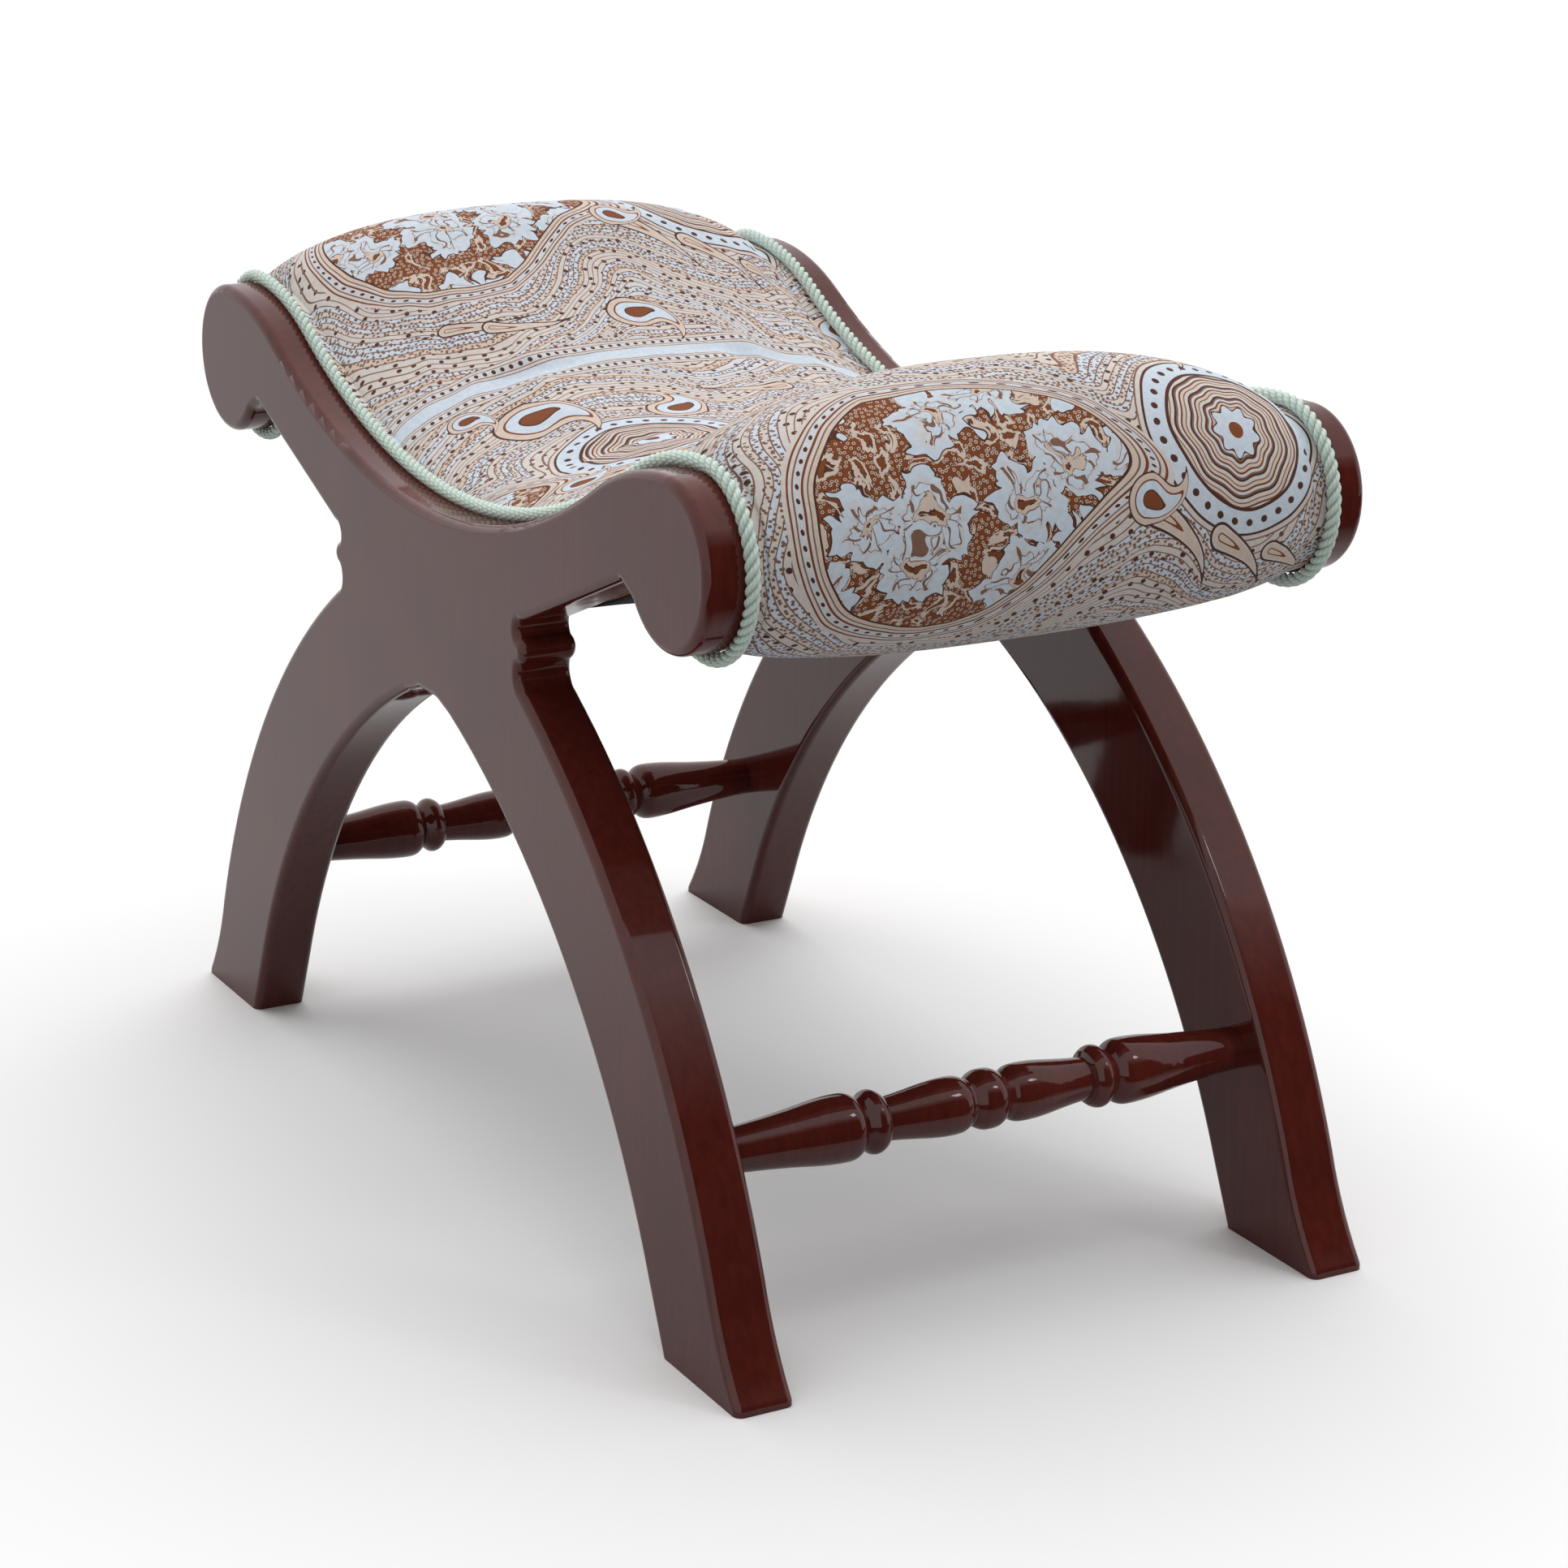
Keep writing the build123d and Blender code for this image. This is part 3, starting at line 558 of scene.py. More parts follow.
def boteh_group(along, across):
    """The paisley's curled teardrop in every repeat: rings that grow from its body, and the turn.

    The drop's ring is 1 on its edge. Each column of repeats lies half a repeat lower than the last.
    """
    tree, given, result = new_group(
        "boteh",
        ("Place", "Middle Place", "Size", "Direction", "Tip", "Curl", "Blunt"),
        ("Ring", "Turn"),
    )
    cloth, middle, size, direction, tip, curl, blunt = given
    start = add(tree, "VectorMath", cloth, middle, operation="SUBTRACT")
    u, v = repeat_place(tree, start, along, across)
    place = add(
        tree,
        "VectorRotate",
        add(tree, "CombineXYZ", u, v),
        (0, 0, 0),
        direction,
        rotation_type="Z_AXIS",
        invert=True,
    )
    size = add(tree, "Math", 1.0, size, operation="DIVIDE")
    place = add(tree, "VectorMath", place, size, operation="SCALE")
    # The tip curls by how far it reaches past 0.6 of the drop's size
    reach = add(tree, "VectorMath", place, operation="LENGTH")
    past = add(tree, "Math", reach, 0.6, operation="SUBTRACT")
    past = add(tree, "Math", past, 0.0, operation="MAXIMUM")
    angle = add(tree, "Math", past, curl, operation="MULTIPLY")
    curled = add(tree, "VectorRotate", place, (0, 0, 0), angle, rotation_type="Z_AXIS")
    split = add(tree, "SeparateXYZ", curled)
    ahead = add(tree, "Math", split.outputs["X"], 0.0, operation="MAXIMUM")
    ahead = add(tree, "Math", ahead, tip, operation="DIVIDE")
    behind = add(tree, "Math", split.outputs["X"], 0.0, operation="MINIMUM")
    run = add(tree, "Math", ahead, behind, operation="ADD")
    narrow = add(tree, "MapRange", ahead, 0.0, 1.0, 1.0, blunt)
    side = add(tree, "Math", split.outputs["Y"], narrow, operation="DIVIDE")
    ring = add(tree, "VectorMath", add(tree, "CombineXYZ", run, side), operation="LENGTH")
    turn = add(tree, "Math", side, run, operation="ARCTAN2")
    tree.links.new(ring.outputs["Value"], result.inputs["Ring"])
    tree.links.new(turn.outputs["Value"], result.inputs["Turn"])
    return tree


def leaf_group():
    """Toothed leaves, one to a cell and turned by chance: rings that grow from each leaf's middle.

    A leaf's edge is where the ring is 1. The turn goes round the middle, in radians.
    """
    tree, given, result = new_group("leaves", ("Place", "Cell", "Slimness"), ("Ring", "Turn"))
    place, cell, slimness = given
    scale = add(tree, "Math", 1.0, cell, operation="DIVIDE")
    cells = add(
        tree,
        "TexVoronoi",
        inputs={"Vector": place, "Scale": scale, "Randomness": 0.7},
        voronoi_dimensions="2D",
    )
    chance = add(tree, "SeparateColor", cells.outputs["Color"])
    angle = add(tree, "Math", chance, 2 * pi, operation="MULTIPLY")
    local = add(tree, "VectorMath", place, cells.outputs["Position"], operation="SUBTRACT")
    local = add(tree, "VectorRotate", local, (0, 0, 0), angle, rotation_type="Z_AXIS")
    split = add(tree, "SeparateXYZ", local)
    side = add(tree, "Math", split.outputs["Y"], slimness, operation="MULTIPLY")
    flat = add(tree, "CombineXYZ", split.outputs["X"], side)
    reach = add(tree, "VectorMath", flat, operation="LENGTH")
    reach = add(tree, "Math", reach, cell, operation="DIVIDE")
    turn = add(tree, "Math", side, split.outputs["X"], operation="ARCTAN2")
    # Five lobes, each with small teeth
    lobes = add(tree, "Math", turn, 2.5, operation="MULTIPLY")
    lobes = add(tree, "Math", lobes, operation="COSINE")
    lobes = add(tree, "Math", lobes, operation="ABSOLUTE")
    teeth = add(tree, "Math", turn, 5.5, operation="MULTIPLY")
    teeth = add(tree, "Math", teeth, 1.0, operation="PINGPONG")
    edge = add(tree, "Math", lobes, 0.2, 0.34, operation="MULTIPLY_ADD")
    edge = add(tree, "Math", teeth, 0.1, edge, operation="MULTIPLY_ADD")
    ring = add(tree, "Math", reach, edge, operation="DIVIDE")
    tree.links.new(ring.outputs["Value"], result.inputs["Ring"])
    tree.links.new(turn.outputs["Value"], result.inputs["Turn"])
    return tree


def repeat_place(tree, place, along, across):
    """A place within its repeat of the print, each column half a repeat lower than the last."""
    split = add(tree, "SeparateXYZ", place)
    column = add(tree, "Math", split.outputs["X"], along, operation="DIVIDE")
    column = add(tree, "Math", column, operation="ROUND")
    u = add(tree, "Math", split.outputs["X"], along / 2, -along / 2, operation="WRAP")
    v = add(tree, "Math", column, across / 2, split.outputs["Y"], operation="MULTIPLY_ADD")
    return u, add(tree, "Math", v, across / 2, -across / 2, operation="WRAP")


def wander(tree, cloth, place, scale, amount):
    """A place that drifts to and fro across the cloth, by up to half the amount each way."""
    drift = add(tree, "TexNoise", inputs={"Vector": cloth, "Scale": scale, "Detail": 1.0})
    shift = add(tree, "VectorMath", drift.outputs["Color"], (0.5,) * 3, operation="SUBTRACT")
    shift = add(tree, "VectorMath", shift, amount, operation="SCALE")
    return add(tree, "VectorMath", place, shift, operation="ADD")


def place_figures(tree, drawn, boteh):
    """Rings and turns of every figure of the print."""
    rings, turns = {}, {}
    for name, ((x, y), size, direction, tip, curl, blunt) in FIGURES.items():
        middle = (x + FIRST_COLUMN, y - FIRST_ROW, 0)
        angle = radians(direction)
        figure = add(
            tree, "Group", drawn, middle, size, angle, tip, curl, blunt, node_tree=boteh
        )
        rings[name], turns[name] = figure.outputs["Ring"], figure.outputs["Turn"]
    return rings, turns


def bead_row(tree, along, across, count, middle, reach, least):
    """Where a row of beads lies: so many to 2 pi along it, at a middle across it, of a reach.

    The beads are round, and the least value makes them smaller.
    """
    wave = add(tree, "Math", along, count, operation="MULTIPLY")
    wave = add(tree, "Math", wave, operation="SINE")
    off = add(tree, "Math", across, middle, operation="SUBTRACT")
    off = add(tree, "Math", off, reach, operation="DIVIDE")
    off = add(tree, "Math", off, off, operation="MULTIPLY")
    bead = add(tree, "Math", wave, off, operation="SUBTRACT")
    return add(tree, "Math", bead, least, operation="GREATER_THAN")


def echoing_lines(tree, drawn, rings, grain, dyes):
    """The print's ground: lines that echo the large figures, some bands tinted or dotted."""
    # Both echoes run into each other over 16 millimetres, and a slow drift of 60 bends them
    flow = add(tree, "TexNoise", inputs={"Vector": drawn, "Scale": 0.013, "Detail": 1.0})
    medallion = add(tree, "Math", rings["medallion"], MEDALLION, operation="MULTIPLY")
    rosette = add(tree, "Math", rings["rosette"], ROSETTE, 20.0, operation="MULTIPLY_ADD")
    nearest = add(tree, "Math", medallion, rosette, 16.0, operation="SMOOTH_MIN")
    lines = add(tree, "Math", flow, 60.0, nearest, operation="MULTIPLY_ADD")
    lines = add(tree, "Math", lines, LINE_SPACING, operation="DIVIDE")
    band = add(tree, "Math", lines, operation="FLOOR")
    chance = add(tree, "TexWhiteNoise", band, noise_dimensions="1D").outputs["Value"]
    tints = (
        (0, dyes.ground),
        (0.3, dyes.pale),
        (0.45, dyes.blue),
        (0.6, dyes.ground),
        (0.8, dyes.beige),
        (0.92, dyes.pale),
    )
    colour = add(tree, "ValToRGB", chance, stops=tints, banded=True)
    some = add(tree, "Math", chance, 0.4, operation="GREATER_THAN")
    dots = add(tree, "Math", grain, 0.3, operation="LESS_THAN")
    dots = add(tree, "Math", dots, some, operation="MULTIPLY")
    colour = add(tree, "Mix", dots, colour, dyes.fine, data_type="RGBA")
    # Dark seeds about seven millimetres apart in the other bands
    seeds = add(
        tree,
        "TexVoronoi",
        inputs={"Vector": drawn, "Scale": 0.15, "Randomness": 0.6},
        voronoi_dimensions="2D",
    )
    others = add(tree, "Math", chance, 0.45, operation="LESS_THAN")
    seed = add(tree, "Math", seeds.outputs["Distance"], 0.19, operation="LESS_THAN")
    seed = add(tree, "Math", seed, others, operation="MULTIPLY")
    colour = add(tree, "Mix", seed, colour, dyes.brown, data_type="RGBA")
    inside = add(tree, "Math", lines, operation="FRACT")
    edge = add(tree, "Math", inside, 0.17, operation="LESS_THAN")
    return add(tree, "Mix", edge, colour, dyes.fine, data_type="RGBA")


def border_stripes(tree, drawn, along, across, colour, dyes):
    """Stripes between the columns of repeats, with a row of beads."""
    start = (FIRST_COLUMN, -FIRST_ROW, 0)
    start = add(tree, "VectorMath", drawn, start, operation="SUBTRACT")
    u, v = repeat_place(tree, start, along, across)
    out = add(tree, "Math", u, operation="ABSOLUTE")
    stripes = (
        (0, dyes.fine),
        (0.6, dyes.ground),
        (2.6, dyes.fine),
        (3.2, dyes.pale),
        (7.4, dyes.fine),
        (8, dyes.ground),
        (9.5, dyes.fine),
        (10.1, dyes.blue),
    )
    share = add(tree, "MapRange", out, BORDER_START, BORDER_START + BORDER_WIDTH)
    stops = [(place / BORDER_WIDTH, dye) for place, dye in stripes]
    stripe = add(tree, "ValToRGB", share, stops=stops, banded=True)
    spacing = 2 * pi / BEAD_SPACING
    beads = bead_row(tree, v, out, count=spacing, middle=BORDER_BEADS, reach=1.6, least=0.1)
    stripe = add(tree, "Mix", beads, stripe, dyes.brown, data_type="RGBA")
    border = add(tree, "Math", out, BORDER_START, operation="GREATER_THAN")
    return add(tree, "Mix", border, colour, stripe, data_type="RGBA")


def rosette(tree, ring, turn, colour, dyes):
    """A flower in a scalloped spiral of narrow stripes, inside a blue ring with beads."""
    # Nine scallops, and a spiral whose stripes repeat five and a half times out to the edge
    petals = add(tree, "Math", turn, 9.0, operation="MULTIPLY")
    petals = add(tree, "Math", petals, operation="COSINE")
    spiral = add(tree, "Math", ring, 5.5, operation="MULTIPLY")
    spiral = add(tree, "Math", petals, 0.1, spiral, operation="MULTIPLY_ADD")
    spiral = add(tree, "Math", turn, 1 / (2 * pi), spiral, operation="MULTIPLY_ADD")
    spiral = add(tree, "Math", spiral, operation="FRACT")
    stripes = (
        (0, dyes.brown),
        (0.13, dyes.ground),
        (0.34, dyes.fine),
        (0.42, dyes.beige),
        (0.6, dyes.rust),
        (0.72, dyes.pale),
        (0.88, dyes.fine),
    )
    fill = add(tree, "ValToRGB", spiral, stops=stripes, banded=True)
    petal = add(tree, "Math", petals, 0.035, ring, operation="MULTIPLY_ADD")
    for edge, size, dye in (
        (petal, 0.28, dyes.brown),
        (petal, 0.26, dyes.blue),
        (ring, 0.09, dyes.rust),
    ):
        inside = add(tree, "Math", edge, size, operation="LESS_THAN")
        fill = add(tree, "Mix", inside, fill, dye, data_type="RGBA")
    # The ring that holds the beads
    start, end = 0.8, 1.2
    rims = (
        (0, dyes.brown),
        (0.1, dyes.blue),
        (0.725, dyes.brown),
        (0.8, dyes.ground),
        (0.925, dyes.fine),
    )
    share = add(tree, "MapRange", ring, start, end)
    rim = add(tree, "ValToRGB", share, stops=rims, banded=True)
    beads = bead_row(tree, turn, ring, count=30.0, middle=0.965, reach=0.048, least=0.25)
    rim = add(tree, "Mix", beads, rim, dyes.brown, data_type="RGBA")
    outer = add(tree, "Math", ring, start, operation="GREATER_THAN")
    fill = add(tree, "Mix", outer, fill, rim, data_type="RGBA")
    whole = add(tree, "Math", ring, 1.19, operation="LESS_THAN")
    return add(tree, "Mix", whole, colour, fill, data_type="RGBA")


def medallion(tree, cloth, drawn, ring, turn, grain, colour, dyes):
    """Grains of rust and beige under toothed blue leaves, with petals among them."""
    gaps = add(tree, "Math", grain, 0.3, operation="LESS_THAN")
    field = add(tree, "Mix", gaps, dyes.rust, dyes.beige, data_type="RGBA")
    specks = add(tree, "Math", grain, 0.16, operation="LESS_THAN")
    field = add(tree, "Mix", specks, field, dyes.brown, data_type="RGBA")
    petals = ((0, dyes.rust), (0.36, dyes.brown), (0.46, dyes.beige), (0.92, dyes.brown))
    leaves = (
        (0, dyes.rust),
        (0.06, dyes.brown),
        (0.09, dyes.beige),
        (0.2, dyes.fine),
        (0.23, dyes.blue),
        (0.5, dyes.fine),
        (0.53, dyes.pale),
        (0.66, dyes.blue),
        (0.94, dyes.brown),
    )
    leaf = leaf_group()
    bent = wander(tree, cloth, drawn, 0.07, 22.0)
    # Petals lie 13 millimetres apart, and leaves 37
    for cell, slimness, stops in ((13.0, 2.0, petals), (37.0, 1.2, leaves)):
        spray = add(tree, "Group", bent, cell, slimness, node_tree=leaf)
        reach, angle = spray.outputs["Ring"], spray.outputs["Turn"]
        fill = add(tree, "ValToRGB", reach, stops=stops, banded=True)
        if stops is leaves:
            # Veins fan out from the middle of each leaf, with a hook at their ends
            hook = add(tree, "Math", reach, 5.0, operation="MULTIPLY")
            veins = add(tree, "Math", angle, 9.0, hook, operation="MULTIPLY_ADD")
            veins = add(tree, "Math", veins, operation="SINE")
            veins = add(tree, "Math", veins, 0.8, operation="GREATER_THAN")
            inner = add(tree, "Math", reach, 0.26, operation="GREATER_THAN")
            outer = add(tree, "Math", reach, 0.6, operation="LESS_THAN")
            veins = add(tree, "Math", veins, inner, operation="MULTIPLY")
            veins = add(tree, "Math", veins, outer, operation="MULTIPLY")
            fill = add(tree, "Mix", veins, fill, dyes.fine, data_type="RGBA")
        whole = add(tree, "Math", reach, 1.0, operation="LESS_THAN")
        field = add(tree, "Mix", whole, field, fill, data_type="RGBA")
    # Narrow rims round the edge, with a row of small beads
    start, end = 0.9, 1.1
    rims = (
        (0, dyes.brown),
        (0.07, dyes.beige),
        (0.2, dyes.fine),
        (0.25, dyes.ground),
        (0.35, dyes.rust),
        (0.425, dyes.pale),
        (0.65, dyes.fine),
        (0.7, dyes.ground),
        (0.8, dyes.rust),
        (0.86, dyes.ground),
    )
    share = add(tree, "MapRange", ring, start, end)
    rim = add(tree, "ValToRGB", share, stops=rims, banded=True)
    beads = bead_row(tree, turn, ring, count=60.0, middle=1.008, reach=0.014, least=0.3)
    rim = add(tree, "Mix", beads, rim, dyes.brown, data_type="RGBA")
    outer = add(tree, "Math", ring, start, operation="GREATER_THAN")
    field = add(tree, "Mix", outer, field, rim, data_type="RGBA")
    whole = add(tree, "Math", ring, end, operation="LESS_THAN")
    return add(tree, "Mix", whole, colour, field, data_type="RGBA")


def small_figures(tree, rings, colour, dyes):
    """Small botehs and long leaves."""
    buds = (
        (0, dyes.rust),
        (0.3, dyes.brown),
        (0.35, dyes.blue),
        (0.66, dyes.rust),
        (0.72, dyes.beige),
        (0.93, dyes.brown),
    )
    leaves = (
        (0, dyes.beige),
        (0.2, dyes.rust),
        (0.3, dyes.beige),
        (0.66, dyes.ground),
        (0.8, dyes.brown),
    )
    for name, ring in rings.items():
        if name.startswith(("bud", "leaf")):
            stops = buds if name.startswith("bud") else leaves
            fill = add(tree, "ValToRGB", ring, stops=stops, banded=True)
            whole = add(tree, "Math", ring, 1.0, operation="LESS_THAN")
            colour = add(tree, "Mix", whole, colour, fill, data_type="RGBA")
    return colour


def woven_relief(tree, cloth, pitch):
    """The weave, which shows between the threads."""
    threads = add(tree, "SeparateXYZ", cloth)
    turn = 2 * pi / pitch
    warp = add(tree, "Math", threads.outputs["X"], turn, operation="MULTIPLY")
    warp = add(tree, "Math", warp, operation="SINE")
    weft = add(tree, "Math", threads.outputs["Y"], turn, operation="MULTIPLY")
    weft = add(tree, "Math", weft, operation="SINE")
    weave = add(tree, "Math", warp, weft, operation="MULTIPLY")
    return add(tree, "Bump", inputs={"Height": weave, "Strength": 0.25, "Distance": 0.00015})


def printed_cotton():
    """Cotton with a paisley print: matt woven cloth, its dyes a little uneven.

    The print is drawn in millimetres on the cover's own map, in repeats with a half drop.
    """
    style = bpy.context.scene.cover_print
    pale = (*[(a + b) / 2 for a, b in zip(style.ground, style.blue)][:3], 1.0)
    colours = (style.ground, style.blue, style.rust, style.brown, style.beige, style.fine)
    dyes = Dyes(*[tuple(colour) for colour in colours], pale)
    along, across = style.repeat_along * MILLIMETRES, style.repeat_across * MILLIMETRES
    material = new_material("paisley_printed_cotton")
    tree = material.node_tree
    flat = add(tree, "UVMap", uv_map="print")
    cloth = add(tree, "VectorMath", flat, MILLIMETRES, operation="SCALE")
    # The hand-drawn look: lines wander by a millimetre or two over every three centimetres
    drawn = wander(tree, cloth, cloth, 0.03, 4.5)
    rings, turns = place_figures(tree, drawn, boteh_group(along, across))
    # Grains two or three millimetres apart
    grains = add(
        tree,
        "TexVoronoi",
        inputs={"Vector": drawn, "Scale": 0.42, "Randomness": 0.75},
        voronoi_dimensions="2D",
    )
    grain = grains.outputs["Distance"]
    colour = echoing_lines(tree, drawn, rings, grain, dyes)
    colour = border_stripes(tree, drawn, along, across, colour, dyes)
    colour = rosette(tree, rings["rosette"], turns["rosette"], colour, dyes)
    ring, turn = rings["medallion"], turns["medallion"]
    colour = medallion(tree, cloth, drawn, ring, turn, grain, colour, dyes)
    colour = small_figures(tree, rings, colour, dyes)
    # Dyes soak in unevenly
    soak = add(tree, "TexNoise", inputs={"Vector": cloth, "Scale": 0.35, "Detail": 3.0})
    soak = add(tree, "MapRange", soak, 0.3, 0.7, 0.92, 1.05)
    colour = add(tree, "VectorMath", colour, soak, operation="SCALE")
    shader = add(
        tree,
        "BsdfPrincipled",
        inputs={
            "Base Color": colour,
            "Roughness": 0.85,
            "Sheen Weight": 0.1,
            "Sheen Roughness": 0.4,
            "Specular IOR Level": 0.25,
            "Normal": woven_relief(tree, cloth, style.thread * MILLIMETRES),
        },
    )
    add(tree, "OutputMaterial", shader)
    return material


# Cover


def fold_depth(along, across):
    """Pull folds from the rails' low middles up onto the rolls, and small gathers at the edges."""
    depth = 0.0
    side_x = 1 if along >= 0 else -1
    side_y = 1 if across >= 0 else -1
    u, v = abs(along), abs(across)
    for (u1, v1), (u2, v2), width, height in PULL_FOLDS:
        run = Vector((u2 - u1, v2 - v1))
        place = Vector((u - u1, v - v1))
        share = min(1.0, max(0.0, place.dot(run) / run.length_squared))
        swell = max(0.0, sin(pi * share))
        bend = FOLD_BEND * swell + FOLD_DIFFERENCE * side_x * side_y
        off = (place.x * run.y - place.y * run.x) / run.length - bend
        # The folds on the far side are the deeper ones
        depth += height * swell**0.7 * exp(-((off / width) ** 2)) * (0.8 + 0.2 * side_y)
    gather = max(0.0, (v - GATHER_START) / GATHER_REACH)
    if gather > 0:
        ripple = Vector((along * RIPPLES_PER_METRE, side_y * EDGE_DIFFERENCE, 0.0))
        fade = 1 - min(1.0, max(0.0, gather - 0.7) / 0.3)
        depth += GATHER_HEIGHT * min(1.0, gather) * fade * noise.noise(ripple)
    return depth


def cover_place(run, y, grow):
    """Point of the cover's outside at a share of its length, its tucked ends past TUCK_START."""
    saddle = shape()
    crown = crown_at(y / (saddle.inner_face - saddle.soft_gap))
    side = 1 if run >= 0 else -1
    if abs(run) <= TUCK_START:
        x, z, nx, nz = line_place(run / TUCK_START, grow, crown)
        return Vector((x, y, z)), Vector((nx, 0, nz))
    x, z, nx, nz = line_place(side, grow, crown)
    scroll_x, scroll_z = scroll_centre()
    tuck_x = scroll_x + saddle.core_radius * cos(HOOK_ANGLE) - TUCK_INSIDE
    tuck_z = scroll_z + saddle.core_radius * sin(HOOK_ANGLE)
    share = (abs(run) - TUCK_START) / (1 - TUCK_START)
    place = Vector((x, y, z)).lerp(Vector((side * tuck_x, y, tuck_z)), share)
    return place, Vector((nx, 0, nz))


def cover_row(across, cushion_half, half):
    """Place across the seat of a share of the cover's width, close together near the rails."""
    flat_start = 1 - EDGE_SHARE
    if abs(across) <= flat_start:
        return cushion_half * sin(pi / 2 * across / flat_start)
    side = 1 if across >= 0 else -1
    share = (abs(across) - flat_start) / EDGE_SHARE
    return side * (cushion_half + (half - cushion_half) * share)


def stretch(piece, pins, normals, cap):
    """Lets the stuffing push the cover outwards like air in a cushion, then keeps the result.

    No point moves inwards, or farther than the cap.
    """
    start = [vert.co.copy() for vert in piece.data.vertices]
    held = piece.vertex_groups.new(name="tacked_edge")
    held.add(pins, 1.0, "REPLACE")
    cloth = piece.modifiers.new("stretch", "CLOTH")
    cloth.settings.quality = 6
    cloth.settings.mass = 0.25
    cloth.settings.tension_stiffness = 12
    cloth.settings.compression_stiffness = 12
    cloth.settings.shear_stiffness = 4
    cloth.settings.bending_stiffness = 0.6
    cloth.settings.vertex_group_mass = held.name
    cloth.settings.use_pressure = True
    cloth.settings.uniform_pressure_force = 4
    cloth.settings.effector_weights.gravity = 0
    cloth.settings.shrink_min = -0.012
    cloth.collision_settings.use_collision = False
    scene = bpy.context.scene
    for number in range(1, SETTLING_FRAMES + 1):
        scene.frame_set(number)
    settled = piece.evaluated_get(bpy.context.evaluated_depsgraph_get())
    moved = [vert.co.copy() for vert in settled.data.vertices]
    if not all(isfinite(place.length) for place in moved):
        raise RuntimeError("The cover flew apart when it was stretched")
    piece.modifiers.remove(cloth)
    piece.vertex_groups.remove(held)
    scene.frame_set(1)
    for vert, before, after, normal in zip(piece.data.vertices, start, moved, normals):
        step = after - before
        step -= normal * min(0.0, step.dot(normal))
        if step.length > cap:
            step *= cap / step.length
        vert.co = before + step


# Twisted rope


def satin_cord():
    """Dyed satin cord: smooth yarns that catch the light along each strand, with painted shade
    between the strands and in the grooves between yarns.
    """
    trim = bpy.context.scene.rope_trim
    material = new_material("twisted_satin_cord")
    tree = material.node_tree
    lay = add(tree, "Attribute", attribute_name="lay", attribute_type="GEOMETRY").outputs["Vector"]
    split = add(tree, "SeparateXYZ", lay)
    turn = add(tree, "Math", split.outputs["Y"], split.outputs["X"], operation="ARCTAN2")
    # Six yarns round a strand, each turning once in eight millimetres
    yarns, yarn_turn = 6.0, 8.0
    pitch = 2 * pi * yarns / yarn_turn
    yarn = add(tree, "Math", turn, yarns, operation="MULTIPLY")
    yarn = add(tree, "Math", split.outputs["Z"], pitch, yarn, operation="MULTIPLY_ADD")
    yarn = add(tree, "Math", yarn, operation="SINE")
    # Painted shade: strands are darker where they dive between the others
    outward = add(tree, "MapRange", split.outputs["X"], -0.2, 0.8, 0.72, 1.0)
    # Painted shade in the grooves between the yarns, and a faint painted highlight on their ridges
    painted_yarn_shade = add(tree, "MapRange", yarn, -1.0, 1.0, 0.9, 1.03)
    shade = add(tree, "Math", outward, painted_yarn_shade, operation="MULTIPLY")
    colour = add(tree, "VectorMath", tuple(trim.mint)[:3], shade, operation="SCALE")
    relief = add(tree, "Bump", inputs={"Height": yarn, "Strength": 0.5, "Distance": 0.0002})
    shader = add(
        tree,
        "BsdfPrincipled",
        inputs={
            "Base Color": colour,
            "Roughness": 0.5,
            "Sheen Weight": 0.3,
            "Sheen Roughness": 0.3,
            "Normal": relief,
        },
    )
    add(tree, "OutputMaterial", shader)
    return material


def twist_rope(bm, length):
    """Strands laid round each other along X, and where each of their points lies in its strand."""
    trim = bpy.context.scene.rope_trim
    strand_r = trim.radius * STRAND_SHARE
    offset = trim.radius - strand_r
    turns = length / trim.lay
    steps = int(turns * STRAND_STEPS)
    starts = [2 * pi * k / trim.strands for k in range(trim.strands)]
    for start in starts:
        middle = Vector((0, offset * cos(start), offset * sin(start)))
        bmesh.ops.create_circle(
            bm,
            segments=STRAND_SIDES,
            radius=strand_r,
            matrix=Matrix.Translation(middle) @ Matrix.Rotation(pi / 2, 4, "Y"),
        )
    bmesh.ops.spin(
        bm,
        geom=bm.verts[:] + bm.edges[:],
        cent=(0, 0, 0),
        axis=(1, 0, 0),
        dvec=(length / steps, 0, 0),
        angle=2 * pi * turns,
        steps=steps,
        use_merge=False,
    )
    bmesh.ops.holes_fill(bm, edges=bm.edges, sides=STRAND_SIDES)
    bmesh.ops.recalc_face_normals(bm, faces=bm.faces)
    lay = bm.verts.layers.float_vector.new("lay")
    for vert in bm.verts:
        angles = [start + 2 * pi * turns * vert.co.x / length for start in starts]
        here = Vector((vert.co.y, vert.co.z))
        middles = [Vector((cos(a), sin(a))) * offset for a in angles]
        k = min(range(len(angles)), key=lambda i: (here - middles[i]).length)
        out = Vector((cos(angles[k]), sin(angles[k])))
        away = here - middles[k]
        vert[lay] = (
            away.dot(out) / strand_r,
            away.dot(Vector((-out.y, out.x))) / strand_r,
            vert.co.x * MILLIMETRES,
        )


# Stuffing and dust cover


